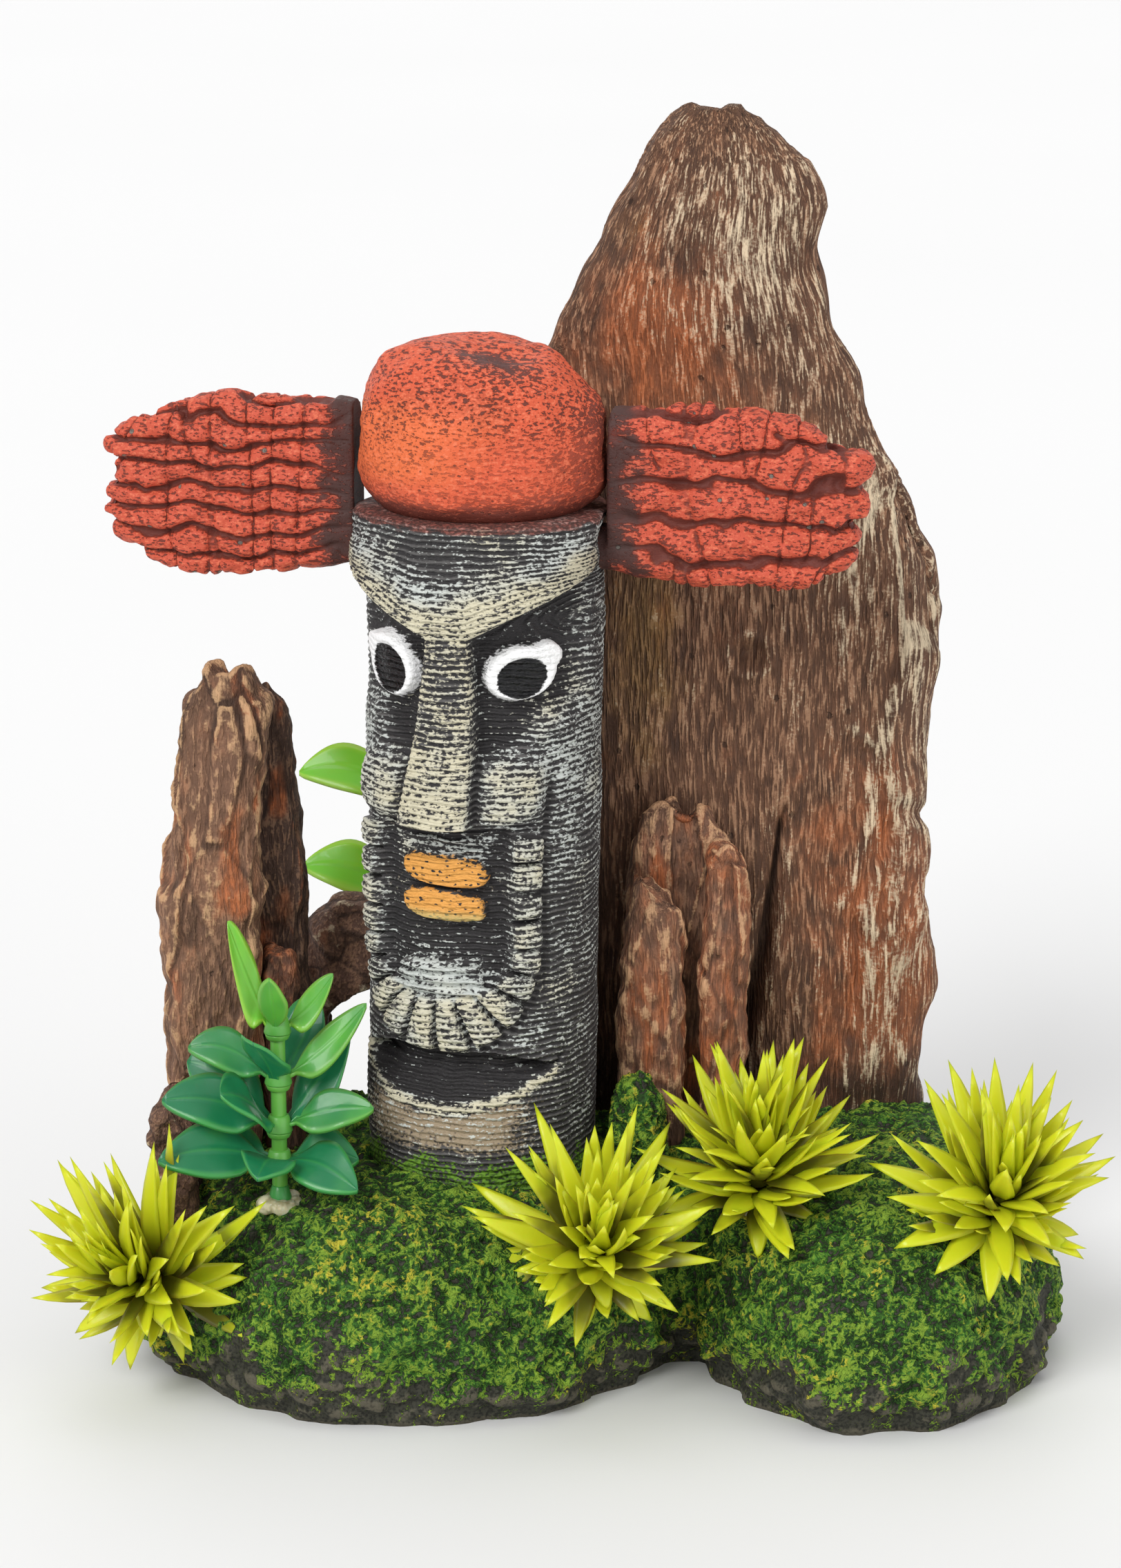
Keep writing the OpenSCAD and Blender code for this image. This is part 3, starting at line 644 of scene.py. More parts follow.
class Face:
    """The carved face as relief and paint over the column's skin."""

    def __init__(self, u, h):
        self.u = u
        self.side = np.abs(u)
        self.h = h
        self.flat = np.stack([u, h, np.zeros_like(u)], axis=1)
        self.out = np.zeros_like(u)
        self.wear = np.full_like(u, 0.5)
        self.warm = ease(noise(self.flat / 13, 5), -0.2, 0.6) * 0.4
        # How much painted shade darkens each point of the face.
        self.hollow_shade = np.zeros_like(u)

    def around(self, half, soft):
        """1 within half a width of the face's middle."""
        return 1 - ease(self.side, half - soft, half + soft)

    def brow(self):
        """An angry brow that overhangs the eyes and fades into the forehead."""
        share = np.clip((self.side - 3) / (BROW_HALF - 3), 0, 1)
        self.brow_edge = BROW_FOOT + (BROW_TIP - BROW_FOOT) * share**0.92
        above = self.h - self.brow_edge
        spread = 1 - ease(self.side, 21, 30)
        bulge = ease(above, -0.7, 1.0) * (1 - ease(above, 3.5, 13)) * spread
        self.out += 2.3 * bulge
        lower = ease(above, -0.4, 0.4) * (1 - ease(above, 4, 11))
        self.wear = lay(self.wear, 0.85, lower * spread)
        self.warm = lay(self.warm, 0.8, ease(above, -0.5, 0.5) * (1 - ease(above, 2, 7)) * spread)
        forehead = ease(above, 7, 12) * self.around(30, 6)
        self.wear = lay(self.wear, 0.36, forehead)

    def sockets(self):
        """Dark hollows under the brow and beside the nose."""
        below = self.brow_edge - self.h
        cheek = 64.5 + 7.5 * ease(self.side, 8, 17)
        deep = ease(below, -0.3, 1.2) * ease(self.h, cheek - 3.5, cheek + 3) * self.around(22.5, 4)
        self.out -= 2.5 * deep
        shade = ease(below, -0.2, 0.5) * ease(self.h, cheek - 1.5, cheek + 2.5) * self.around(22, 3)
        self.wear = lay(self.wear, 0.16, shade)
        # Painted shade under the brow and beside the nose.
        self.hollow_shade = np.maximum(self.hollow_shade, shade * 0.7)
        cheek_lines = ease(self.side, 12, 17) * self.around(30, 5) * bell(self.h - 64, 9)
        self.wear = lay(self.wear, 0.78, cheek_lines)

    def eyes(self):
        """Raised almond rings round glossy pupils."""
        away = self.side - EYE_OUT
        rise = self.h - EYE_H - 0.1 * away
        half_h = EYE_HALF_H + 0.7 * (self.u < 0)
        ring = np.hypot(away / EYE_HALF_W, rise / half_h)
        corner = np.hypot((away - 3.9) / 3.3, (rise - 1.6) / 2.3)
        self.eye = np.minimum(ring, corner)
        self.pupil = np.hypot((away + 0.2) / 4.3, (rise + 0.6) / (half_h - 1.1))
        self.out += 2.4 * (1 - ease(self.eye, 0.86, 1.12)) - 0.4 * (1 - ease(self.pupil, 0.9, 1.08))

    def nose(self):
        """A straight flat nose that widens and stands out towards its foot, with flared nostrils."""
        share = np.clip((NOSE_TOP - self.h) / (NOSE_TOP - NOSE_FOOT), 0, 1)
        half = 3.4 + 1.7 * share
        up_down = ease(self.h, NOSE_FOOT - 0.35, NOSE_FOOT + 0.5)
        up_down *= 1 - ease(self.h, NOSE_TOP - 1, NOSE_TOP + 3)
        ridge = (1 - ease(self.side, half - 0.5, half + 1.1)) * up_down
        rounded = 1 - 0.22 * (self.side / half) ** 2
        self.out = lay(self.out, (0.9 + 3.5 * share**1.1) * rounded, ridge)
        away = np.abs((self.side - FLARE_OUT) / FLARE_HALF_W)
        rise = np.abs((self.h - FLARE_H) / FLARE_HALF_H)
        flare = (away**3 + rise**3) ** (1 / 3)
        floor = ease(self.h, NOSE_FOOT + 0.2, NOSE_FOOT + 1.0)
        flared = (1 - ease(flare, 0.45, 1.08)) * floor * (1 - ridge)
        self.out += 2.3 * flared
        crease = bell(self.side - half - 0.9, 0.55) * ease(self.h, NOSE_FOOT, NOSE_FOOT + 2)
        crease *= 1 - ease(self.h, 62, 66)
        self.out -= 0.9 * crease
        self.wear = lay(self.wear, 0.9, np.maximum(ridge * (0.55 + 0.45 * share), flared * 0.8))
        self.warm = lay(self.warm, 0.45, flared)
        self.wear = lay(self.wear, 0.15, crease)
        self.warm = lay(self.warm, 0.6, ridge)
        self.hollow_shade = self.hollow_shade * (1 - ridge)

    def jaw(self):
        """A U of teeth round a sunken mouth, with a groove outside it."""
        below = np.clip(JAW_H - self.h, 0, None)
        self.bow = np.hypot(self.side / JAW_HALF, below / JAW_DROP)
        turn = np.arctan2(below / JAW_DROP, self.side / JAW_HALF)
        thick = 0.18 + 0.2 * ease(turn, 0.2, 1.3)
        top = 1 - ease(self.h, JAW_TOP - 0.6, JAW_TOP + 0.6)
        inside = (1 - ease(self.bow, 1 - thick - 0.07, 1 - thick + 0.02)) * (1 - ease(self.h, 53.3, 54.4))
        self.out = lay(self.out, -1.7 + 0.25 * noise(self.flat / 2.4, 8), inside)
        brushed = np.maximum(bell(self.h - 50.5, 2.6), bell(self.h - 29, 5))
        strokes = 0.2 + 0.5 * brushed * self.around(9.5, 2)
        self.wear = lay(self.wear, strokes, inside)
        # Painted shade inside the sunken mouth.
        self.hollow_shade = lay(self.hollow_shade, 0.6, inside)
        across = (self.bow - 1) / thick
        band = 1 - ease(np.abs(across), 0.8, 1.06)
        count = np.where(below > 0, turn / TOOTH_TURN, -(self.h - JAW_H) / TOOTH)
        middle = np.abs(count - np.floor(count) - 0.5) * 2
        tooth = band * (1 - ease(middle, 0.72, 0.98)) * top
        crown = np.clip(1 - 0.35 * across**2 - 0.3 * middle**2, 0, 1)
        self.out = lay(self.out, -1.0, band * top)
        self.out = lay(self.out, 1.7 * crown, tooth)
        self.wear = lay(self.wear, 0.3, band * top)
        self.wear = lay(self.wear, 0.82, tooth * ease(crown, 0.2, 0.75))
        self.warm = lay(self.warm, 0.45, tooth)
        groove = bell(self.side - JAW_GROOVE_OUT + 0.5 * noise(self.flat / 5, 3), 0.55)
        groove = groove * ease(self.h, 25, 30) * (1 - ease(self.h, 58, 63))
        bend = bell(self.bow - 1.2 - 0.17 * ease(turn, 0.2, 1.3), 0.05)
        groove = np.maximum(groove, bend * (below > 0) * (turn < 1.2))
        self.out -= 0.9 * groove
        self.wear = lay(self.wear, 0.1, groove)

    def lips(self):
        """Two painted lips over a dark gap, and a ridged tongue below them."""
        off = self.u - LIP_MID + 0.5 * noise(self.flat / 3, 14)
        self.lip, self.lip_paint = np.zeros_like(self.u), np.zeros_like(self.u)
        for middle, half in ((LIP_H + 2.65, 2.35), (LIP_H - 2.6, 2.4)):
            tilt = self.h - middle + 0.05 * off
            shape = (np.abs(off) / LIP_HALF) ** 4 + (np.abs(tilt) / half) ** 2.6
            lip = 1 - ease(shape, 0.62, 1.15)
            self.out = lay(self.out, 0.6 - 0.4 * (tilt / half) ** 2, lip)
            self.lip = np.maximum(self.lip, lip)
            self.lip_paint = np.maximum(self.lip_paint, 1 - ease(shape, 0.1, 1.7))
        self.cream = self.lip * (1 - ease(self.h, LIP_H - 4.4, LIP_H - 2.6))
        self.hollow_shade = self.hollow_shade * (1 - self.lip)
        tongue = (1 - ease(np.abs(self.u) + 0.5 * np.abs(self.h - 30), 7.2, 8.6)) * ease(self.h, 26.4, 27.4)
        tongue *= 1 - ease(self.h, 32.4, 33.6)
        self.out = lay(self.out, 0.1 + 0.5 * np.cos((self.h - 27) * math.tau / 1.7), tongue)
        self.wear = lay(self.wear, 0.92, tongue)
        self.hollow_shade = self.hollow_shade * (1 - tongue)
        fold = np.cos((self.h - 44) * math.tau / 1.5) * bell(self.h - 51, 2.2) * self.around(10, 1.5)
        self.out += 0.3 * fold

    def collar(self):
        """A dark scoop under the chin, held by a bright-edged collar."""
        edge = COLLAR_H + COLLAR_RISE * (self.side / COLLAR_HALF) ** 2 + 0.4 * noise(self.flat / 4, 12)
        open_h = np.maximum(SCOOP_TOP - 0.25 * np.clip(self.side - 9, 0, None) - edge, 0.6)
        share = (self.h - edge) / open_h
        lens = self.around(20.5, 1.8)
        inside = ease(share, -0.02, 0.12) * (1 - ease(share, 0.93, 1.04)) * lens
        self.out = lay(self.out, -3.6 * ease(share, 0, 0.8), inside)
        self.wear = lay(self.wear, 0.1, inside)
        # Painted shade in the scoop under the chin.
        self.hollow_shade = lay(self.hollow_shade, 0.75, inside)
        below = (1 - ease(self.h - edge, -0.4, 0.3)) * self.around(22, 3)
        self.out = lay(self.out, 0.9 - 0.5 * ease(self.side, 4, 16), below)
        rim = bell(self.h - edge + 0.4 + 0.5 * noise(self.flat / 1.8, 17), 0.95) * self.around(20, 2)
        self.wear = lay(self.wear, 0.35, below)
        self.wear = lay(self.wear, 0.95, rim)
        self.warm = lay(self.warm, 0.7, rim)
        self.hollow_shade = self.hollow_shade * (1 - rim)
        self.tan = below * self.around(14, 6) * ease(self.h, 0.5, 6) * (1 - rim)

    def rim(self):
        """A worn rim under the topknot, stained by its red paint."""
        top = COLUMN_TOP - ROCK_TOP
        self.out += 0.5 * bell(self.h - top + 0.8, 1.4) - 0.4 * bell(self.h - top + 4, 1.6)
        self.pink = ease(self.h + 0.9 * noise(self.flat / (3, 1.2, 1), 31), top - 1.8, top - 0.4)

    def all(self):
        upper = (self.brow, self.sockets, self.eyes, self.nose)
        lower = (self.jaw, self.lips, self.collar, self.rim)
        for step in upper + lower:
            step()


def stone_finish(totem):
    """Grooved charcoal stone, dry-brushed, with painted eyes and lips, and painted shade in the hollows."""
    look = Finish("totem_stone")
    spot = look.place()
    wear, hollow_shade = look.paint("wear"), look.paint("hollow_shade")
    ridge = 0.5 + 0.5 * (look.paint("groove") * math.tau).cosine()
    dash = look.noise(spot, 0.42, (5.5, 5.5, 1), detail=3, roughness=0.65)
    patch = look.noise(spot, 5.5, detail=2)
    speck = look.noise(spot, 0.45, (1.3, 1.3, 0.9), detail=2)
    lift = ridge * 0.34 + (dash - 0.5) * 2.2 + (speck - 0.5) * 1.9 + (patch - 0.5) * 0.8
    brush = (lift + wear * 0.92).rise(0.7, 1.02)
    # Painted shade: the stone turns to charcoal in the face's hollows.
    stone = look.mix(totem.charcoal, totem.slate, (ridge * 0.7 + speck * 0.6 - hollow_shade * 0.8).rise(0.35, 1.1))
    stone = look.mix(stone, totem.umber, look.paint("umber") * (0.4 + 0.6 * patch))
    dusty = look.paint("tan") * 1.1 + (speck - 0.5) * 2.2 + (patch - 0.5) * 1.2
    tan = look.mix(stone, totem.tan, dusty.rise(0.45, 0.95) * 0.9)
    bright = look.mix(totem.frost, totem.ivory, (look.paint("warm") + (patch - 0.5) * 0.8).rise(0.1, 0.7))
    brushed = look.mix(tan, bright, brush)
    pink = (look.paint("pink") + (dash - 0.5) * 1.2).rise(0.35, 0.75)
    rim_paint = look.mix(linear(92, 60, 54), linear(166, 96, 84), speck.rise(0.4, 0.7))
    brushed = look.mix(brushed, rim_paint, pink * 0.8)
    mossed = (look.paint("mossing") + (speck - 0.5) * 2.6 + (patch - 0.5) * 1.4).rise(0.5, 0.75)
    sprout = look.mix(linear(30, 52, 20), linear(112, 156, 48), (speck + patch * 0.4).rise(0.55, 0.85))
    brushed = look.mix(brushed, sprout, mossed * look.paint("mossing").rise(0.02, 0.2))
    ragged = (dash - 0.5) * 0.3 + (speck - 0.5) * 0.16 + (patch - 0.5) * 0.3
    lip = look.paint("lip") + (dash - 0.5) * 1.5 + (patch - 0.5) * 0.9 + (speck - 0.5) * 0.5
    lip = lip.rise(0.5, 0.66)
    lip_fleck = look.pits(spot, 0.85, (1.4, 1.4, 0.8)) + (speck - 0.5) * 1.1 + ridge * 0.12
    lip_paint = look.mix(totem.charcoal, totem.lips, lip_fleck.rise(0.2, 0.34))
    lip_paint = look.mix(lip_paint, linear(196, 184, 120), look.paint("cream") * (0.4 + speck * 0.6))
    brushed = look.mix(brushed, lip_paint, lip)
    white = (look.paint("eye") + ragged).fall(0.99, 1.05)
    black = (look.paint("pupil") + ragged * 0.8).fall(0.96, 1.02)
    ring_paint = look.mix(totem.white, totem.slate, (dash + speck).fall(0.62, 0.8) * 0.5)
    # Painted highlights: grey lines on the ridges of the pupils.
    pupil_highlight = look.mix(totem.pupil, totem.slate, (ridge * 0.5 + dash).rise(0.98, 1.2) * 0.5)
    painted = look.mix(look.mix(brushed, ring_paint, white), pupil_highlight, black)
    paint_gloss = (white + lip * 0.4).least(1)
    roughness = 0.68 - paint_gloss * 0.18 - black * 0.3
    calm = (1 - (white - black).most(0) * 0.6) * (1 - look.paint("tan") * 0.5)
    height = (ridge * 0.5 + dash * 0.7) * calm + speck * 0.5
    return look.coat(painted, roughness, height, 0.6, 1.0).set(specular_ior_level=0.35)


COLUMN_ROWS, COLUMN_FACETS = 462, 206


def column_profile():
    """Radius and height of the column's outline, from the foot's middle to the peg hole."""
    foot = COLUMN_LOW[2]
    rows = [(0, foot), (COLUMN_R / 2, foot), (COLUMN_R, foot)]
    rows += [(COLUMN_R, z) for z in np.linspace(foot + 2, ROCK_TOP - 1, 6)]
    rows += [(COLUMN_R, z) for z in np.linspace(ROCK_TOP - 0.8, COLUMN_TOP - 0.2, COLUMN_ROWS)]
    rows += [(COLUMN_R - 0.5, COLUMN_TOP), (COLUMN_R - 6, COLUMN_TOP), (PEG_R, COLUMN_TOP)]
    return rows + [(PEG_R, COLUMN_TOP - PEG_DEPTH), (0, COLUMN_TOP - PEG_DEPTH)]


FACE_LEAN = 2.1  # how far the brow, the eyes and the nose's top stand to the right of the mouth
FACE_CROWDING = 0.45  # how much closer together the column's facets are on the face


def make_totem(totem):
    column = turned(column_profile(), COLUMN_FACETS)
    x, y, z = column.xyz
    radius, turn = np.hypot(x, y), np.arctan2(y, x)
    turn = turn - FACE_CROWDING * np.sin(turn)
    h = z - ROCK_TOP
    face = Face(turn * COLUMN_R - FACE_LEAN * ease(h, 48, 74), h)
    face.all()
    rising = ease(np.abs(turn), 0.5, 2.2)
    fan = np.clip(face.brow_edge - BROW_FOOT, 0, None) * ease(h, BROW_FOOT - 2, BROW_FOOT + 3)
    fan *= 1 - ease(h, 88, 97)
    bend = 0.85 * noise(face.flat / (11, 15, 1), 71) + 0.3 * noise(face.flat / (3.4, 5, 1), 72)
    groove = (h - 0.8 * fan) / (totem.groove_pitch * BENCH) + bend
    shell = np.stack([np.cos(turn) * 18, np.sin(turn) * 18, z], axis=1)
    out = face.out + rough(shell / 14, 2, 75) * 0.45
    plain = 1 - np.maximum(1 - ease(face.eye, 0.9, 1.1), face.lip * 0.6)
    out += totem.groove_depth * BENCH * np.cos(groove * math.tau) * plain - 0.35
    out -= 1.0 * (1 - ease(h, 10, 95)) * ease(np.abs(turn), 0.9, 1.6)
    skin = ease(radius, COLUMN_R - 0.8, COLUMN_R - 0.3) * ease(h, -4, 0.5)
    radius = radius + out * skin
    heading = turn - math.pi / 2 - totem.face_turn
    x, y = AXIS[0] + radius * np.cos(heading), AXIS[1] + radius * np.sin(heading)
    column.spots = np.stack([x, y, z], axis=1)
    back = ease(y - AXIS[1], -2, 14) * ease(x - AXIS[0], -8, 12)
    wear = face.wear * (1 - 0.75 * back) * (1 - 0.35 * rising * (1 - ease(h, 30, 60)))
    wear = lay(wear, 0.2, 1 - ease(h, 0, 7))
    for name, values in (("wear", wear), ("warm", face.warm), ("hollow_shade", face.hollow_shade), ("eye", face.eye),
                         ("pupil", face.pupil), ("lip", face.lip_paint), ("cream", face.cream),
                         ("tan", face.tan), ("pink", face.pink), ("groove", groove), ("umber", back)):
        column.paint(name, values)
    column.paint("mossing", 1 - ease(h + 2.5 * noise(shell / 5, 91), -1.0, 3.6))
    column.place("totem_column", stone_finish(totem), "totem_stone")


class TIKI_OT_totem(Operator):
    """Turn the column and carve and paint its face"""

    bl_idname = "tiki.totem"
    bl_label = "Totem column"

    def execute(self, context):
        make_totem(context.scene.tiki_totem)
        return {"FINISHED"}


# ---- topknot and wings ----------------------------------------------------------------------


def red_finish(name, red, base, lit_share, fleck_share):
    """Coral paint with painted light and shade: lighter on the topknot's lit side, darker in the hollows,
    on its shaded side and at the wings' roots; dotted with short dark flecks and small pale painted
    highlights.
    """
    look = Finish(name)
    spot = look.place()
    hollow = look.paint("hollow")
    dash = look.noise(spot, 0.52, (2.0, 2.0, 0.8), detail=2, roughness=0.6)
    dots = look.pits(spot, 1.25, (1.3, 1.3, 0.8))
    patch = look.noise(spot, 11, detail=2)
    speck = look.noise(spot, 0.4, detail=2)
    # Painted light: the topknot turns lighter orange on its lit left side.
    lit_side = (look.paint("lit_side") + (patch - 0.5) * 1.1).rise(0.1, 1.0)
    paint = look.mix(base, red.lit_orange, lit_side * lit_share)
    shade = (patch + (speck - 0.5) * 0.6).rise(0.52, 0.85)
    paint = look.mix(paint, darker(base, 0.5), shade * 0.55)
    fleck = dash + (speck - 0.5) * 0.3 + look.paint("painted_shade") * 0.2
    fleck = fleck.rise(1 - fleck_share, 1.08 - fleck_share)
    pit = (dots + (speck - 0.5) * 0.35).fall(0.08, 0.2)
    # Painted shade in the wings' grooves and low places.
    groove_shade = (hollow + (dash - 0.5) * 0.9).rise(0.3, 0.85)
    dark = (fleck * look.paint("flecky")).most(pit * 0.9).most(groove_shade)
    # Painted highlights: small pale dashes over the red.
    paint = look.mix(paint, linear(236, 132, 96), (dash + (speck - 0.5) * 0.6).fall(0.3, 0.44) * 0.5)
    # Painted shade: the coat darkens towards the fleck colour on the topknot's shaded side, bottom and top
    # dimple, and at the wings' roots.
    worn = look.mix(paint, red.fleck, (look.paint("painted_shade") + (dash - 0.5) * 0.9).rise(0.2, 1.0) * 0.8)
    coat = look.mix(worn, darker(red.fleck, 0.62), dark * 0.85)
    bubbles = look.pits(spot, 4.6)
    bubble = bubbles.fall(0.07, 0.1) * look.paint("bubbly")
    coat = look.mix(coat, red.bubble, bubble)
    # Painted shade: dark grey at the wings' roots against the column.
    coat = look.mix(coat, linear(58, 52, 50), look.paint("root_shade"))
    height = (1 - dark) * 0.7 + speck * 0.25 + dash * 0.4 - bubble * 0.8
    return look.coat(coat, 0.62, height, 0.38, 0.9).set(specular_ior_level=0.35)


KNOT_ROWS, KNOT_FACETS = 110, 200
KNOT_FOOT_TURN, KNOT_FOOT_RISE = -42, 0.7487  # where the outline starts, and its rise there


def make_topknot(red):
    height = KNOT_HIGH[2] - COLUMN_TOP - 1.2
    belly = height * 0.42
    profile = [(0, KNOT_LOW[2]), (PEG_R, KNOT_LOW[2]), (PEG_R, COLUMN_TOP), (KNOT_R * 0.6, COLUMN_TOP)]
    for turn in np.radians(np.linspace(KNOT_FOOT_TURN, 90, KNOT_ROWS)):
        reach = (KNOT_R - 0.5) * max(math.cos(turn), 0) ** 0.66
        rise = math.copysign(abs(math.sin(turn)) ** 0.72, turn)
        tall = height - belly if turn > 0 else belly / KNOT_FOOT_RISE
        profile.append((reach, COLUMN_TOP + belly + rise * tall))
    profile[-1] = (0, profile[-1][1])
    knot = turned(profile, KNOT_FACETS)
    x, y, z = knot.xyz
    radius = np.hypot(x, y)
    outer = ease(z, COLUMN_TOP - 0.5, COLUMN_TOP + 3)
    dimple = bell(np.hypot(x - 2.5, y + 6), 6.5)
    dimple *= ease(z, COLUMN_TOP + height * 0.6, COLUMN_TOP + height * 0.85)
    z -= (1.6 * dimple + 0.075 * (x + 4)) * ease(z, COLUMN_TOP + 8, COLUMN_TOP + height)
    z -= 2.2 * ease(radius, 9, 15) * ease(x, 6, 16) * ease(z, COLUMN_TOP + 12, COLUMN_TOP + 22)
    knot.spots[:, :2] += AXIS
    spots = knot.spots.copy()
    knot.push((rough(spots / 12, 3, 101) * 0.85 + rough(spots / (3.2, 3.2, 1.6), 2, 105) * 0.22) * outer)
    side = spots[:, 0] - AXIS[0]
    up = (spots[:, 2] - COLUMN_TOP) / height
    knot.paint("hollow", np.zeros(len(spots)))
    # Painted light, low and in the middle of the topknot's lit left side.
    knot.paint("lit_side", ease(-side, -12, 14) * ease(up, 0.05, 0.4) * (1 - ease(up, 0.5, 0.85)))
    # Painted shade in the top dimple, round the bottom and on the right side, away from the key light.
    painted_shade = 1.0 * bell(np.hypot(side - 1.5, spots[:, 1] - AXIS[1] + 8), 5.5) * ease(up, 0.6, 0.85)
    painted_shade = np.maximum(painted_shade, 0.85 * (1 - ease(up, 0.0, 0.32)) * ease(side, -14, 12))
    painted_shade = np.maximum(painted_shade, 0.7 * ease(side, 8, 18) * (1 - ease(up, 0.5, 0.85)))
    knot.paint("painted_shade", np.maximum(painted_shade, 1.0 * (1 - ease(up, 0.02, 0.2))))
    knot.paint("flecky", 0.45 + 0.55 * ease(up + 0.15 * noise(spots / 6, 109), 0.35, 0.7))
    knot.paint("bubbly", np.zeros(len(spots)))
    knot.paint("root_shade", np.zeros(len(spots)))
    knot.place("red_topknot", red_finish("red_paint_knot", red, red.coral, 0.9, 0.45), "red_paint")


def make_wing(node, side, bands, red, finish, seed):
    """One wing with wavy ridges along it, fading to painted shade at the column."""
    wing = even_skin(node_copy(node), 0.34)
    way = np.array([math.cos(WING_TURN), -math.sin(WING_TURN)]) * side
    reach = (wing.spots[:, :2] - AXIS) @ way
    long = reach.max()
    low, high = box_mm(node)
    tall = high[2] - low[2]
    middle = high[2] - tall / 2
    free = ease(reach, COLUMN_R + 0.5, COLUMN_R + 4)
    z = wing.spots[:, 2]
    flat = np.stack([reach, z, np.full_like(z, seed)], axis=1)
    wave = 0.62 * noise(flat / (14, 8, 1), seed) + 0.26 * noise(flat / (4.2, 3.4, 1), seed + 1)
    phase = (z - low[2]) / tall * bands + wave
    band = np.floor(phase)
    edge = np.abs(phase - band - 0.5) * 2
    step = scatter(np.stack([band, band * 0, band * 0], axis=1), seed + 2) - 0.5
    tip = ease(reach, long - 7, long)
    corner = ease(np.abs(z - middle) / (tall / 2), 0.4, 1.0) * ease(reach, long - 16, long)
    wing.spots[:, :2] += way * ((step * 1.6 - 0.9 * edge**2 - 0.3) * tip - 5 * corner)[:, None]
    gap = ease(edge, 0.58, 0.97) * (1 - 0.4 * tip)
    swell = np.sqrt(np.clip(1 - edge**2, 0, 1)) * 0.75 - 0.4
    lump = rough(wing.spots / (5, 5, 3), 3, seed + 4) * 0.75
    cross = bell(noise(flat / (7, 40, 1), seed + 6), 0.035) * 0.7
    depth = red.band_depth * BENCH
    root = 0.45 + 0.55 * ease(reach, COLUMN_R + 3, COLUMN_R + 10)
    wing.push((swell + step * 0.5 - gap * depth + lump - cross) * free * root)
    wing.spots = lay(wing.spots, wing.settled(1), 0.4)
    # Painted shade near the column.
    root_shade = 1 - ease(reach + 3.5 * rough(flat / 3.5, 2, seed + 8), COLUMN_R + 0.5, COLUMN_R + 8)
    # Painted shade: the gaps between the ridges, the cross lines and the low places are marked dark.
    wing.paint("hollow", np.clip(gap * 1.25 + cross * 0.8 - wing.raised(5) * 1.2, 0, 1))
    wing.paint("lit_side", np.zeros(len(z)))
    # Painted shade on the wing's root against the column.
    wing.paint("painted_shade", np.clip(root_shade * 1.2, 0, 1))
    wing.paint("bubbly", np.ones(len(z)))
    wing.paint("flecky", np.full(len(z), 0.9))
    wing.paint("root_shade", root_shade * 0.5)
    wing.place(node, finish, "red_paint")


class TIKI_OT_topknot(Operator):
    """Turn the red topknot"""

    bl_idname = "tiki.topknot"
    bl_label = "Topknot"

    def execute(self, context):
        make_topknot(context.scene.tiki_red)
        return {"FINISHED"}


class TIKI_OT_wings(Operator):
    """Sculpt the two ridged wings"""

    bl_idname = "tiki.wings"
    bl_label = "Side wings"

    def execute(self, context):
        red = context.scene.tiki_red
        finish = red_finish("red_paint_wing", red, red.brick, 0.25, 0.44)
        make_wing("left_wing", -1, red.left_bands, red, finish, 3)
        make_wing("right_wing", 1, red.right_bands, red, finish, 18)
        return {"FINISHED"}


# ---- driftwood and rocks --------------------------------------------------------------------


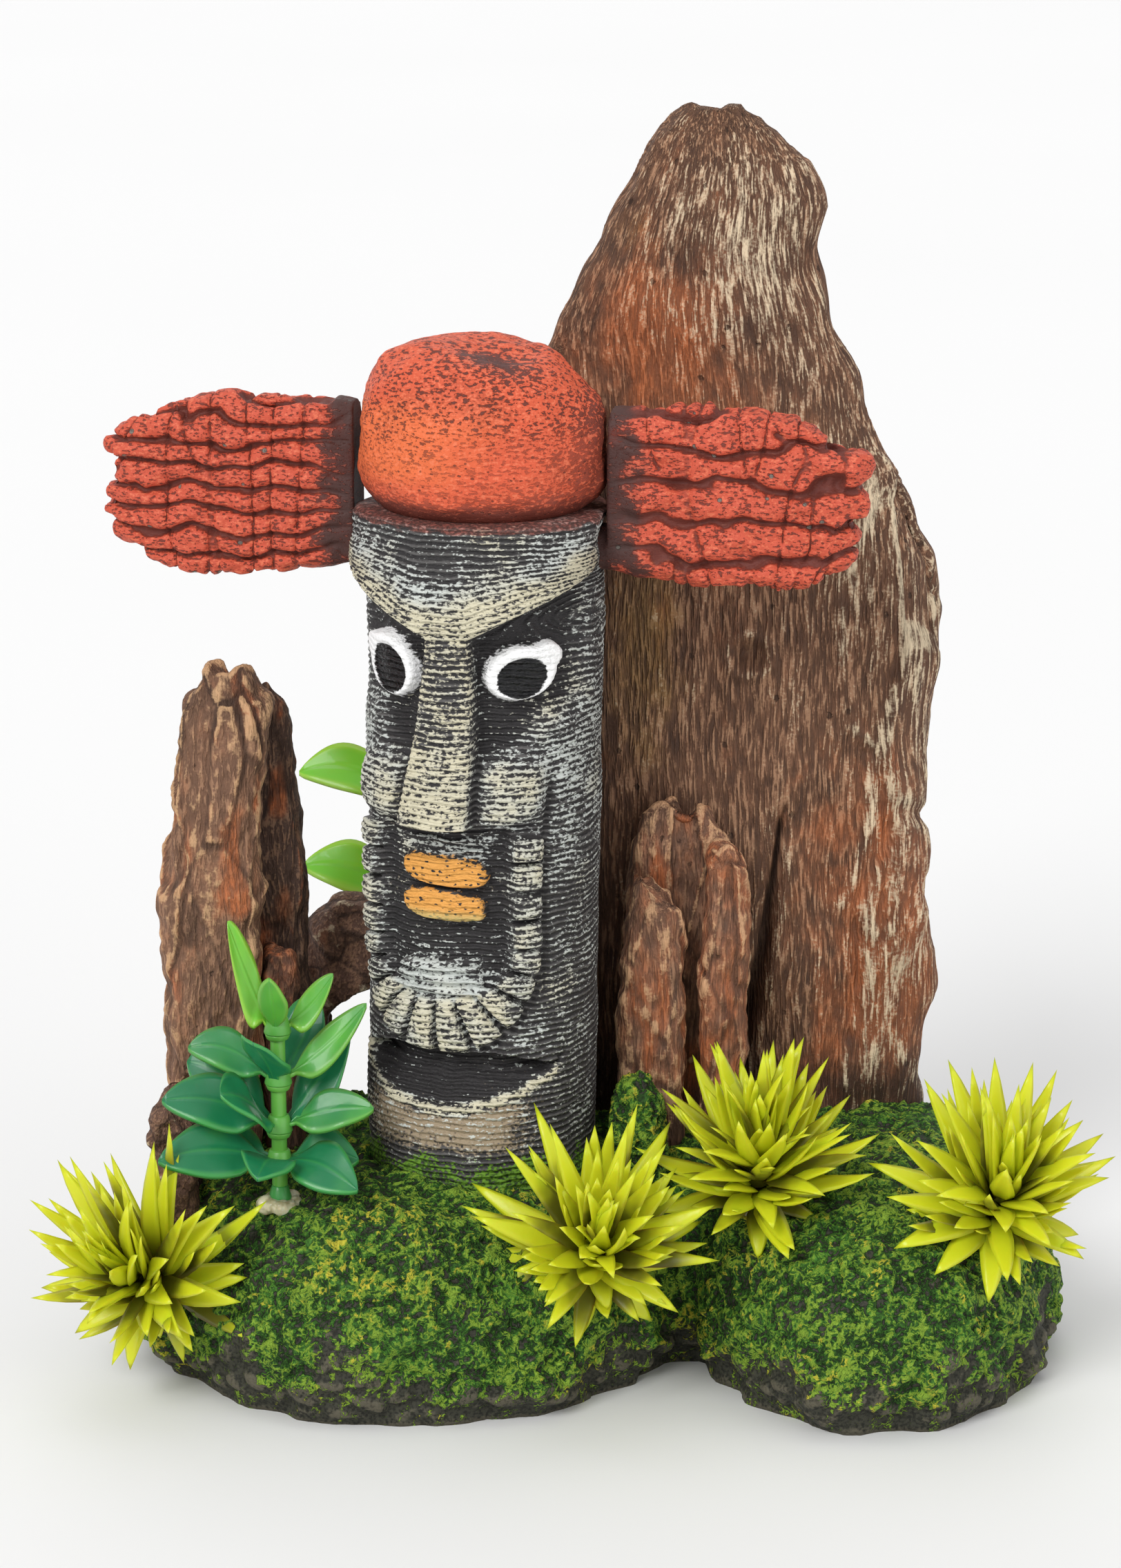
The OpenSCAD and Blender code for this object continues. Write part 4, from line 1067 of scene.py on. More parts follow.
def wood_finish(name, wood, base, streaks, edges, grain_stretch=9.0, worn=None):
    """Stained, grained wood with dry brushing; the sculptor's paint says where each stain lies."""
    look = Finish(name)
    run = look.grain_run()
    pitch = wood.grain * BENCH
    wander = look.noise(run, 5, (1, 1, 4), detail=1)
    line = look.noise(run, pitch * 0.54, (1, 1, grain_stretch), detail=2, roughness=0.55, twist=0.25)
    coarse = look.noise(run, pitch * 2.6, (1, 1, 9), detail=2, roughness=0.5)
    streak = look.noise(run, 2.4, (1, 1, 3.2), detail=3, roughness=0.6)
    speck = look.noise(run, 0.4, detail=2)
    groove = (line * 0.75 + coarse * 0.25 + (wander - 0.5) * 0.1).rise(0.36, 0.62)
    patch = look.noise(run, 3.2, (1, 1, 1.8), detail=3, roughness=0.6)
    lift = (groove * 0.6 + (streak - 0.5) * 0.9) * streaks + (speck - 0.5) * 0.9
    lift = lift + (patch - 0.5) * (1.4 - streaks)
    brush = (lift + look.paint("bleach") * 1.25 + look.paint("stand") * edges).rise(0.74, 1.34)
    body = (groove * 0.6 + 0.3) * streaks + (1 - streaks) * 0.8 + (patch - 0.5) * 0.9
    stain = look.mix(wood.dark, base, body)
    thin = (line + (speck - 0.5) * 0.3).rise(0.5, 0.62) * (0.3 + 0.35 * streaks)
    flecks = (patch + (speck - 0.5) * 0.5).rise(0.52, 0.7) * (1 - streaks) * 0.55
    stain = look.mix(stain, wood.tan, thin.most(flecks))
    for tint, on_ridges, all_over in (("rust", 0.4, 0.25), ("olive", 0.3, 0.1)):
        cloud = (look.paint(tint) * 1.3 + (patch - 0.5) * 1.2).rise(0.2, 1.0)
        stain = look.mix(stain, getattr(wood, tint), cloud * (groove * on_ridges + all_over))
    # The "dark" paint darkens cracks, seams and knots, and on the slab it also carries painted shade beside
    # the totem.
    stain = look.mix(stain, wood.dark, (look.paint("dark") + (speck - 0.5) * 0.4).rise(0.15, 0.9) * 0.85)
    brushed = look.mix(stain, worn or wood.cream, brush * 0.8)
    pit = (look.pits(run, 4.2, (1, 1, 1.3)) + (speck - 0.5) * 0.15).fall(0.06, 0.12)
    brushed = look.mix(brushed, linear(24, 18, 16), pit * 0.6)
    height = groove * (0.3 + 0.7 * streaks) + streak * 0.35 + patch * (1 - streaks)
    height = height + speck * 0.3 - pit * 0.6
    return look.coat(brushed, 0.74, height, 0.42, 1.0).set(specular_ior_level=0.28)


def wood_paint(piece, run, **stains):
    """Leaves the grain's run and every stain on a piece of wood."""
    piece.paint_run("run", run)
    piece.paint("stand", np.clip(piece.raised(6) * 3.2, -0.7, 1))
    for name in ("bleach", "rust", "olive", "dark"):
        piece.paint(name, np.clip(stains.get(name, np.zeros(len(piece.spots))), 0, 1.2))


def blot(x, z, cx, cz, half_width, half_height):
    """A soft patch on a piece's front."""
    return bell(np.hypot((x - cx) / half_width, (z - cz) / half_height), 1)


def blots(x, z, *patches):
    """Soft patches together, each (strength, centre x, centre z, half width, half height)."""
    return sum(strength * blot(x, z, *place) for strength, *place in patches)


SLAB_CRACK = [(34.4, 81), (32.8, 68), (31.4, 58), (28, 42), (26, 34)]
SLAB_SPLIT = [(49, 88), (51, 76), (46.5, 64), (47, 52), (44, 38)]


def make_slab(wood):
    slab = even_skin(node_copy("driftwood_slab"), 0.62)
    low, high = box_mm("driftwood_slab")
    x, y, z = slab.xyz.copy()
    free = ease(z, ROCK_TOP - 3, ROCK_TOP + 3)
    front = 1 - ease(y, low[1] + 2, low[1] + 9)
    rows = np.linspace(ROCK_TOP, high[2], 60)
    shelf = np.clip(np.searchsorted(rows, z), 0, 59)
    left = np.array([x[shelf == k].min() if (shelf == k).any() else np.nan for k in range(60)])
    right = np.array([x[shelf == k].max() if (shelf == k).any() else np.nan for k in range(60)])
    left = np.interp(z, rows[~np.isnan(left)], left[~np.isnan(left)])
    right = np.interp(z, rows[~np.isnan(right)], right[~np.isnan(right)])
    across = (x - (left + right) / 2) / np.maximum((right - left) / 2, 4)
    fan = lay(x, (left + right) / 2 * 0.3 + 18 + across * 22, ease(z, 120, 175) * 0.75)
    run = np.stack([fan + 0.5 * noise(np.stack([x / 9, y / 9, z / 14], axis=1), 2), y, z], axis=1)
    grain = run / (2.4, 2.4, 26)
    level, edge = flakes(run / (8.5, 9, 30), 6)
    plates = (level - 0.5) * ease(edge, 0, 0.12)
    ragged = ease(x, 40, 50) * (1 - ease(z, 128, 145))
    out = rough(slab.spots / 24, 2, 3) * 1.5 + np.abs(noise(grain, 7)) * 0.4 + noise(grain * 2.1, 8) * 0.2
    out += plates * wood.plate_step * BENCH * (0.15 + 2.3 * ragged + 1.0 * (1 - front))
    knot = np.hypot((x - 28.5) / 4.4, (z - 105) / 4.2)
    out += front * (0.9 * bell(knot - 0.8, 0.22) - 1.9 * bell(knot, 0.45))
    out -= front * 1.9 * blot(x, z, 18.5, 167, 4.2, 6.5)
    out += front * 1.6 * blot(x, z, 35, 176, 5, 6) - 1.6 * front * blot(x, z, 38, 164, 3, 3.4)
    out += 1.8 * front * blot(x, z, 52, 92, 7, 34)
    aside, share = along_line(x, z, SLAB_CRACK)
    crack = bell(aside, 0.35 + 1.5 * np.clip(1 - share, 0, 1)) * front
    crack = crack * ease(z, 33, 36) * (1 - ease(z, 76, 83))
    aside, share = along_line(x, z, SLAB_SPLIT)
    aside = aside + 0.8 * noise(slab.spots / 3, 13)
    flap = ease(aside, -0.5, 0.5) * (1 - ease(z, 84, 92)) * front
    out += 1.5 * flap - crack * 3.4
    rim = np.stack([z / 9, np.sign(across), z * 0], axis=1)
    side_dents = 1.4 * noise(rim, 15) * ease(np.abs(across), 0.75, 1)
    slab.push((out - 0.8 + side_dents) * free)
    slab.spots = lay(slab.spots, slab.settled(1), 0.3)
    slab.spots[:, 2] = np.minimum(slab.spots[:, 2], high[2] + 1)
    bleach = blots(x, z, (0.42, 28, 168, 15, 20), (0.3, 44, 130, 8, 26), (0.32, 57, 95, 7, 32),
                   (0.15, 52, 50, 10, 18))
    bleach = bleach + 0.1 + 0.3 * ragged * ease(edge, 0.2, 0)
    # Less bleach off the front and, as painted shade, beside the totem below its top.
    bleach = bleach * (0.4 + 0.6 * front) * (1 - 0.6 * (1 - ease(x, -4, 12)) * (1 - ease(z, 130, 150)))
    rust = blots(x, z, (0.75, 14, 156, 12, 13), (0.5, 24, 134, 16, 14), (0.6, 50, 50, 13, 20),
                 (0.35, 44, 78, 12, 16))
    rust = rust + 0.2 * ease(noise(run / (5, 5, 24), 17), 0, 0.6)
    olive = blots(x, z, (0.7, 12, 107, 7, 22), (0.5, 24, 128, 10, 9), (0.3, 10, 170, 6, 8))
    # Painted shade: the slab darkens beside the totem column, below its top, where its shadow falls; the
    # cracks are dark too.
    dark = 0.75 * (1 - ease(x, 2, 12)) * (1 - ease(z, 128, 150)) + 1.1 * crack
    dark = dark + (0.5 * bell(knot, 0.6) + blots(x, z, (0.6, 18.5, 166, 3.2, 5))) * front
    dark = dark + 0.75 * (1 - ease(z, ROCK_TOP, ROCK_TOP + 12))
    wood_paint(slab, run, bleach=bleach, rust=rust, olive=olive, dark=dark)
    slab.place("driftwood_slab", wood_finish("driftwood_finish", wood, wood.brown, 1.0, 0.3), "driftwood")


def make_split_wood(node, finish, wood, seed, spacing=0.42, step=1.0, bleach=0.3, rust=0.2,
                    dark_top=0.0, lean=0.0):
    """A post, prong or plank: stacked peeling plates with ragged ends."""
    piece = even_skin(node_copy(node), spacing)
    low, high = box_mm(node)
    x, y, z = piece.xyz.copy()
    free = ease(z, ROCK_TOP - 2, ROCK_TOP + 3)
    run = np.stack([x + lean * (z - low[2]) + 0.6 * noise(piece.spots / (6, 6, 14), seed), y, z], axis=1)
    level, edge = flakes(run / (6.2, 6, 19), seed + 1)
    fine_level, fine_edge = flakes(run / (2.8, 3, 8), seed + 2)
    plates = (level - 0.5) * 2 * ease(edge, 0, 0.1) + (fine_level - 0.5) * ease(fine_edge, 0, 0.15) * 0.4
    out = plates * wood.plate_step * BENCH * step * 0.62 + rough(piece.spots / 9, 2, seed + 3) * 0.8
    out += noise(run / (1.3, 1.3, 9), seed + 4) * 0.13
    out += rough(piece.spots / (2.1, 2.1, 3.2), 2, seed + 8) * 0.42
    top = ease(z, high[2] - 9, high[2])
    piece.spots[:, 2] += top * 2.2 * noise(piece.spots / (2.6, 3, 60), seed + 5)
    piece.push((out - 0.35) * free)
    piece.spots = lay(piece.spots, piece.settled(1), 0.35)
    seams = (1 - ease(edge, 0.02, 0.12)) * 0.6
    stand = piece.raised(6)
    ridge_edge = ease(stand, 0.12, 0.4)
    pale = bleach * (0.5 + ease(noise(run / (3, 3, 12), seed + 6), -0.2, 0.5))
    rusty = rust + ridge_edge * 0.55 + 0.5 * ease(noise(run / (4, 4, 11), seed + 7), 0.1, 0.6)
    dark = seams + dark_top * ease(z, high[2] - 16, high[2] - 3)
    dark = dark + 0.6 * (1 - ease(z, ROCK_TOP, ROCK_TOP + 8))
    wood_paint(piece, run, bleach=pale, rust=rusty, dark=dark)
    piece.place(node, finish, "driftwood")


def make_broken_rock(node, finish, seed, spacing, chip, seated):
    """A dark rounded rock with flat chips broken off, plain below where it is seated."""
    rock = even_skin(node_copy(node), spacing)
    x, y, z = rock.xyz.copy()
    level, edge = flakes(rock.spots / (chip, chip, chip * 0.8), seed)
    run = rock.spots.copy()
    free = ease(z, ROCK_TOP + seated[0], ROCK_TOP + seated[1])
    chips = (level - 0.6) * 2.4 * ease(edge, 0, 0.3)
    rock.push((chips + rough(rock.spots / 4, 3, seed + 3) * 0.7 - 0.3) * free)
    rock.spots = lay(rock.spots, rock.settled(2), 0.5)
    cracks = 1 - ease(edge, 0.02, 0.14)
    wood_paint(rock, run, bleach=0.1 + 0.25 * ease(rock.raised(5), 0.1, 0.4),
               rust=0.3 * ease(noise(run / 6, seed + 5), 0, 0.6), dark=cracks * 0.8)
    rock.place(node, finish, "dark_rock")


class TIKI_OT_slab(Operator):
    """Sculpt the tall driftwood slab"""

    bl_idname = "tiki.slab"
    bl_label = "Driftwood slab"

    def execute(self, context):
        make_slab(context.scene.tiki_wood)
        return {"FINISHED"}


class TIKI_OT_stump(Operator):
    """Sculpt the broken stump"""

    bl_idname = "tiki.stump"
    bl_label = "Broken stump"

    def execute(self, context):
        wood = context.scene.tiki_wood
        worn = linear(216, 172, 132)
        finish = wood_finish("stump_wood", wood, linear(140, 104, 84), 0.45, 1.0, 7.0, worn)
        make_split_wood("stump_crest", finish, wood, 130, step=1.3, bleach=0.25, rust=0.25, dark_top=0.1)
        make_split_wood("stump_left_prong", finish, wood, 140, step=1.2, bleach=0.42, rust=0.35, lean=0.04)
        make_split_wood("stump_right_prong", finish, wood, 150, step=1.3, bleach=0.3, rust=0.45)
        return {"FINISHED"}


class TIKI_OT_post(Operator):
    """Sculpt the split post and the plank beside it"""

    bl_idname = "tiki.post"
    bl_label = "Split post"

    def execute(self, context):
        wood = context.scene.tiki_wood
        worn, worn_in_shade = linear(204, 164, 124), linear(160, 126, 100)
        front = wood_finish("post_wood", wood, linear(138, 102, 80), 0.35, 1.1, 5.0, worn)
        # Painted shade: a darker copy of the post's wood for the post's back half and the arch plank.
        back = wood_finish("post_wood_in_shade", wood, linear(92, 70, 60), 0.35, 0.6, 5.0, worn_in_shade)
        make_split_wood("left_post_front", front, wood, 160, step=1.5, bleach=0.34, rust=0.2, dark_top=0.5)
        make_split_wood("left_post_back", back, wood, 170, step=1.3, bleach=0.12, rust=0.1, dark_top=0.3)
        make_split_wood("arch_plank", back, wood, 180, spacing=0.3, step=0.8, bleach=0.15, rust=0.4)
        return {"FINISHED"}


class TIKI_OT_rocks(Operator):
    """Sculpt the cave's arch rock and the corner rock"""

    bl_idname = "tiki.rocks"
    bl_label = "Cave rocks"

    def execute(self, context):
        wood = context.scene.tiki_wood
        finish = wood_finish("dark_rock", wood, linear(116, 86, 72), 0.2, 0.7, 1.6)
        make_broken_rock("arch_rock", finish, 190, spacing=0.5, chip=6.0, seated=(-3, 2))
        make_broken_rock("corner_rock", finish, 200, spacing=0.35, chip=4.0, seated=(-9, -5))
        return {"FINISHED"}


# ---- plants ---------------------------------------------------------------------------------


def stem_frame(root, heading, height_angle):
    """The stem's own frame: its +Z runs out along the stem from its root."""
    lean = Matrix.Rotation(math.radians(90 - height_angle), 4, "Y")
    return Matrix.Translation(root) @ (Matrix.Rotation(math.radians(heading), 4, "Z") @ lean)


def lobe_point(lobe, angle, share):
    x, y, half_width, half_depth, height = lobe
    up = (1 - share**LOBE_FLAT) ** (1 / LOBE_FLAT)
    return Vector((x + half_width * share * math.cos(math.radians(angle)),
                   y + half_depth * share * math.sin(math.radians(angle)), height * up))


def lobe_above(lobe, x, y):
    share = min(math.hypot((x - lobe[0]) / lobe[2], (y - lobe[1]) / lobe[3]), 0.97)
    return Vector((x, y, lobe[4] * (1 - share**LOBE_FLAT) ** (1 / LOBE_FLAT)))


BROADLEAF = stem_frame(lobe_above(LOBES[0], AXIS[0] - COLUMN_R - 12.7, AXIS[1] - 19), 0, 90)
REAR_PLANT = stem_frame(lobe_above(LOBES[0], AXIS[0] - 12, AXIS[1] + COLUMN_R + 24.2), 0, 90)
TUFTS = {
    "left": stem_frame(lobe_point(LOBES[0], 212, 0.955), -122, 18),
    "centre": stem_frame(lobe_point(LOBES[0], -47, 0.88), -84, 26),
    "middle": stem_frame(lobe_point(LOBES[2], 214, 0.72), -88, 58),
    "right": stem_frame(lobe_point(LOBES[2], -43, 0.76), -80, 42),
}
STEM_R, HUB_R, HUB_H, STEM_DEPTH, COLLAR_T = 1.2, 2.5, 2.6, 8.0, 1.0
LEAF_START = 1.4
LEAF_ROLL = math.radians(46)  # how far the leaves turn their faces to the front
LEAF_T, LEAF_NECK, LEAF_FOLD, LEAF_BLUNT = 0.6, 0.1, 0.14, 0.7
LEAF_ROWS, LEAF_COLUMNS = 20, 8
BAR_SIDES = 20


class Plant:
    """Moulded plastic parts gathered in one mesh, in the frame of their stem."""

    def __init__(self, stem):
        self.shape = bmesh.new()
        self.young = self.shape.verts.layers.float.new("young")
        self.rib = self.shape.verts.layers.float.new("rib")
        self.tip = self.shape.verts.layers.float.new("tip")
        self.stem = stem

    def cone(self, low, high, low_r, high_r, young=0.4):
        """A round bar along the stem."""
        made = bmesh.ops.create_cone(self.shape, cap_ends=True, segments=BAR_SIDES, radius1=low_r,
                                     radius2=high_r, depth=high - low,
                                     matrix=Matrix.Translation((0, 0, (low + high) / 2)))
        for vert in made["verts"]:
            vert[self.young] = young
        edges = {edge for vert in made["verts"] for edge in vert.link_edges}
        sharp = [edge for edge in edges if edge.calc_face_angle(0) > 0.9]
        bmesh.ops.bevel(self.shape, geom=sharp, offset=min(0.25, low_r / 4), affect="EDGES", segments=2,
                        profile=0.5, material=-1)

    def leaf(self, base, direction, reach, rise, width, sag, curl, young):
        """A leaf from the stem outwards: a flat grid that is shaped and then given its thickness."""
        grid = bmesh.ops.create_grid(self.shape, x_segments=LEAF_ROWS, y_segments=LEAF_COLUMNS,
                                     size=0.5)["verts"]
        turn = Matrix.Rotation(math.radians(direction), 4, "Z")
        steep = max(rise, 0) / (reach + max(rise, 0))
        roll = (LEAF_ROLL + steep * 0.6) * math.cos(math.radians(direction))
        faces = list({face for vert in grid for face in vert.link_faces})
        for vert in grid:
            share, across = vert.co.x + 0.5, vert.co.y * 2
            out = math.sin(math.pi * min(max((share - 0.1) / 0.9, 0), 1) ** 0.8)
            neck = width * LEAF_NECK * (1 - share) ** 0.5
            half = max(width / 2 * max(out, 0) ** LEAF_BLUNT, neck, 0.12)
            wave = 0.12 * width * math.sin(share * 9 + direction) * across * out * 0.4
            dip = LEAF_FOLD * half * abs(across) ** 1.3 + wave
            x = LEAF_START + (reach - LEAF_START) * share
            z = base + rise * share + sag * math.sin(math.pi * share) - curl * share**3
            level = min(share / 0.3, 1) * roll
            side = across * half
            vert[self.young] = young
            vert[self.rib] = 1 - abs(across)
            vert[self.tip] = share
            vert.co = turn @ Vector((x, side * math.cos(level) - dip * math.sin(level),
                                     z + side * math.sin(level) + dip * math.cos(level)))
        bmesh.ops.solidify(self.shape, geom=faces, thickness=LEAF_T)

    def grow_up(self, lift):
        """Bends every tip towards the light."""
        upward = self.stem.inverted().to_3x3() @ Vector((0, -0.35, 1))
        for vert in self.shape.verts:
            vert.co += upward * lift * vert[self.tip] ** 1.6

    def place(self, node, finish, slot, body="root"):
        shape = self.shape
        bmesh.ops.remove_doubles(shape, verts=shape.verts, dist=0.02)
        bmesh.ops.recalc_face_normals(shape, faces=shape.faces)
        shape.transform(Matrix.Scale(MM, 4) @ self.stem)
        mesh = bpy.data.meshes.new(node)
        shape.to_mesh(mesh)
        shape.free()
        return placed(mesh, node, finish, body)


def leaf_finish(name, plants):
    """Glossy moulded plastic leaves, paler along the rib, the edge and on young leaves."""
    look = Finish(name)
    spot = look.place()
    patch = look.noise(spot, 7, detail=2)
    speck = look.noise(spot, 0.7, detail=2)
    young = (look.paint("young") + (patch - 0.5) * 0.35).rise(0.05, 0.95)
    rib = look.paint("rib")
    pale = (1 - rib).rise(0.78, 1.0) * 0.5 + rib.rise(0.9, 1.0) * 0.25
    leaf = look.mix(plants.leaf, plants.leaf_edge, pale)
    leaf = look.mix(leaf, plants.leaf_edge, patch.rise(0.5, 0.8) * 0.35)
    fresh = look.mix(plants.young, linear(176, 216, 70), (1 - rib).rise(0.6, 1.0) * 0.5)
    skin = look.mix(leaf, fresh, young)
    height = rib.rise(0.8, 1.0) * 0.6 + speck * 0.1
    return look.coat(skin, 0.33 + speck * 0.12, height, 0.25, 0.6).set(
        specular_ior_level=0.5, subsurface_weight=0.12, subsurface_scale=0.002, coat_weight=0.15)


def whorl(node, stem, hub, leaves, finish, slot, body):
    """A hub with its leaves, each (direction, reach, rise, width, sag, curl, young)."""
    plant = Plant(stem)
    plant.cone(hub, hub + HUB_H, HUB_R * 0.86, HUB_R * 0.62, young=0.35)
    for direction, reach, rise, width, sag, curl, young in leaves:
        plant.leaf(hub + HUB_H / 2, direction, reach, rise, width, sag, curl, young)
    plant.place(node, finish, slot, body)


BROADLEAF_HUBS = [6, 11.5, 19, 27]
# Leaves: direction, reach, rise, width, sag, curl, and how young its colour is
BROADLEAF_LEAVES = {
    "broadleaf_lower_whorl": ("broadleaf_lower", [
        (194, 18.5, 2.5, 8.8, 1.0, 1.5, 0.0), (164, 14, 1, 7.6, 0.5, 1.0, 0.1),
        (-36, 15, -2.0, 8.2, 1.5, 0, 0.1), (-4, 12, 0.5, 7.6, 1, 0.5, 0.15),
        (256, 11, 1, 8.4, 1.2, 0.5, 0.05)]),
    "broadleaf_middle_whorl": ("broadleaf_middle", [
        (184, 17.5, 4.5, 8.6, 1.5, 0.5, 0.0), (160, 15, 8.5, 11.4, 2, 0.5, 0.0),
        (-8, 14.5, 3, 6.4, 1, 0, 0.3), (26, 12, 13.5, 10.4, -0.5, 0, 0.05),
        (222, 11, 7, 9.4, 1.5, 0, 0.0)]),
    "broadleaf_upper_whorl": ("broadleaf_upper", [
        (178, 13.5, 5.5, 6.6, 1.5, 1.2, 0.25), (52, 9.5, 10, 9.6, -1, 0, 0.05),
        (10, 13.5, 10.5, 6.0, -1, 0, 0.45), (250, 9, 8, 8.2, 0.8, 0, 0.0)]),
    "broadleaf_top_sprig": ("broadleaf_top", [
        (168, 7.5, 15.5, 9.6, -1, 0, 0.75), (8, 8.5, 7.5, 5.6, -1, 0, 0.55),
        (262, 5.5, 9, 4.6, 0, 0, 0.5)]),
}
REAR_HUBS = [37, 53]
REAR_LEAVES = {
    "rear_plant_lower_whorl": ("rear_lower", REAR_HUBS[0], [
        (176, 18.5, 5, 8.6, 1.5, 1, 0.95), (4, 12, 4, 7, 1.5, 0, 0.9)]),
    "rear_plant_upper_whorl": ("rear_upper", REAR_HUBS[1], [
        (174, 19, 6.5, 8.0, 1.5, 3, 0.95), (262, 14, 4, 7, 1.5, 1, 0.9), (6, 12, 6, 7, 1.5, 0, 0.9)]),
}


def make_stem(node, stem, hubs, finish, slot):
    """A stem with a collar under every hub, standing out of the last one."""
    top = hubs[-1] + HUB_H + 0.7
    plant = Plant(stem)
    plant.cone(-STEM_DEPTH, 0, STEM_R, STEM_R)
    plant.cone(-0.2, 3, STEM_R + 0.9, STEM_R, young=0.2)
    plant.cone(2.8, top, STEM_R, STEM_R * 0.92)
    for hub in hubs:
        plant.cone(hub - COLLAR_T, hub, STEM_R + 0.4, STEM_R + 0.8)
    plant.place(node, finish, slot)


class TIKI_OT_broadleaf(Operator):
    """Mould the broad-leaf plant: its stem and four turning whorls"""

    bl_idname = "tiki.broadleaf"
    bl_label = "Broad-leaf plant"

    def execute(self, context):
        finish = leaf_finish("broadleaf_plastic", context.scene.tiki_plants)
        make_stem("broadleaf_stem", BROADLEAF, BROADLEAF_HUBS, finish, "broadleaf_plastic")
        for hub, (node, (body, leaves)) in zip(BROADLEAF_HUBS, BROADLEAF_LEAVES.items()):
            whorl(node, BROADLEAF, hub, leaves, finish, "broadleaf_plastic", body)
        return {"FINISHED"}


class TIKI_OT_rear_plant(Operator):
    """Mould the rear plant: its stem and two turning whorls"""

    bl_idname = "tiki.rear_plant"
    bl_label = "Rear plant"

    def execute(self, context):
        finish = leaf_finish("rear_leaf_plastic", context.scene.tiki_plants)
        make_stem("rear_plant_stem", REAR_PLANT, REAR_HUBS, finish, "rear_leaf_plastic")
        for node, (body, hub, leaves) in REAR_LEAVES.items():
            whorl(node, REAR_PLANT, hub, leaves, finish, "rear_leaf_plastic", body)
        return {"FINISHED"}


def blade_finish(plants):
    """Translucent yellow-green plastic, dark at the root."""
    look = Finish("grass_plastic")
    spot = look.place()
    patch = look.noise(spot, 6, detail=2)
    tip = look.paint("tip")
    tone = look.paint("young")
    blade = look.mix(darker(plants.blade, 0.62), plants.blade, (tip + tone * 0.8).rise(0.2, 1.0))
    # Painted highlights: pale along the middle of each blade, in patches.
    worn = (look.paint("rib").rise(0.55, 1.0) * 0.45 + (patch - 0.5)).rise(0.2, 0.6)
    blade = look.mix(blade, plants.blade_highlight, worn * 0.6)
    grown = (tip + (tone - 0.6) * 0.85 + (patch - 0.5) * 0.7).rise(0.02, 0.45)
    blade = look.mix(plants.blade_root, blade, grown)
    return look.coat(blade, 0.36, look.noise(spot, 1.2, detail=1), 0.2, 0.25).set(
        specular_ior_level=0.45, subsurface_weight=0.2, subsurface_scale=0.002)


BLADE_SIDES, BLADE_RINGS = 6, 7
BLADE_WIDTH, BLADE_LIFT = 3.7, 5.5


class Tuft(Plant):
    """Rosettes of spindle-shaped blades."""

    def blade(self, base, direction, tilt, long, width, droop, tone):
        """One blade: a strip rolled into a spindle, broad in its middle and keeled below."""
        grid = bmesh.ops.create_grid(self.shape, x_segments=BLADE_RINGS, y_segments=BLADE_SIDES, size=0.5)
        turn = Matrix.Rotation(math.radians(direction), 4, "Z")
        lean = math.radians(tilt)
        for vert in grid["verts"]:
            share, round_it = vert.co.x + 0.5, math.tau * vert.co.y
            swell = math.sin(math.pi * (0.1 + 0.9 * share) ** 0.8) ** 0.85 if 0.001 < share < 0.999 else 0
            half = width / 2 * swell * (0.42 + 0.58 * min(share / 0.28, 1))
            side, up = math.cos(round_it) * half, math.sin(round_it) * half * 0.3
            up += (0.26 * abs(side) - 0.05 * width) * min(swell, 1)
            out = LEAF_START * 0.6 + long * share
            bent = lean - math.radians(droop) * share**2
            far = out * math.cos(bent) - up * math.sin(bent)
            high = base + out * math.sin(bent) + up * math.cos(bent)
            vert[self.tip] = share
            vert[self.rib] = 1 - abs(math.cos(round_it))
            vert[self.young] = tone
            vert.co = turn @ Vector((far, side, high))

    def rosette(self, base, count, tilt, long, width, seed, shy=None):
        """Blades all round the stem; shy holds the directions that lie against the rock."""
        for k in range(count):
            wobble = [math.sin(k * 2.4 + seed * step) for step in (1.7, 2.9, 4.3, 5.9)]
            direction = 360 * k / count + 24 * wobble[0] + seed * 23
            lift = tilt + 20 * wobble[1]
            if shy is not None:
                lift += shy * max(0.0, -math.cos(math.radians(direction)) - 0.1)
            self.blade(base + 0.5 * wobble[2], direction, lift, long * (1 + 0.2 * wobble[2]),
                       width * (1 + 0.16 * wobble[3]), 6 + 10 * wobble[0], 0.5 + 0.5 * wobble[3])


# Rosettes from a tuft's root to its tip: height on the stem, blades, tilt from square to the stem
TUFT_RINGS = {
    "outer": [(3.4, 19, 2, 1.0), (4.2, 18, 17, 1.0), (5.0, 16, 31, 0.96)],
    "inner": [(6.8, 15, 42, 0.95), (7.8, 13, 54, 0.92)],
    "stem": [(8.8, 10, 62, 0.85), (9.6, 7, 76, 0.8)],
}
# Tufts: blade length, seed, how much the blades on the rock's side lift
TUFT_SHAPES = {"left": (16.5, 1, 28), "centre": (16, 2, 32), "middle": (15, 3, 16), "right": (15.5, 4, 24)}


class TIKI_OT_grass(Operator):
    """Mould the four grass tufts"""

    bl_idname = "tiki.grass"
    bl_label = "Grass tufts"

    def execute(self, context):
        finish = blade_finish(context.scene.tiki_plants)
        for name, (long, seed, shy) in TUFT_SHAPES.items():
            for part, rings in TUFT_RINGS.items():
                tuft = Tuft(TUFTS[name])
                if part == "stem":
                    tuft.cone(-STEM_DEPTH, 10.5, STEM_R, STEM_R * 0.8, young=0.1)
                else:
                    tuft.cone(rings[0][0] - 1, rings[0][0] + 1.4, HUB_R * 0.8, HUB_R * 0.6, young=0.0)
                for k, (height, count, tilt, share) in enumerate(rings):
                    tuft.rosette(height, count, tilt, long * share, BLADE_WIDTH,
                                 seed + 3 * k + len(part), shy)
                tuft.grow_up(BLADE_LIFT)
                tuft.place(f"grass_{name}_{part}", finish, "grass_plastic")
        return {"FINISHED"}


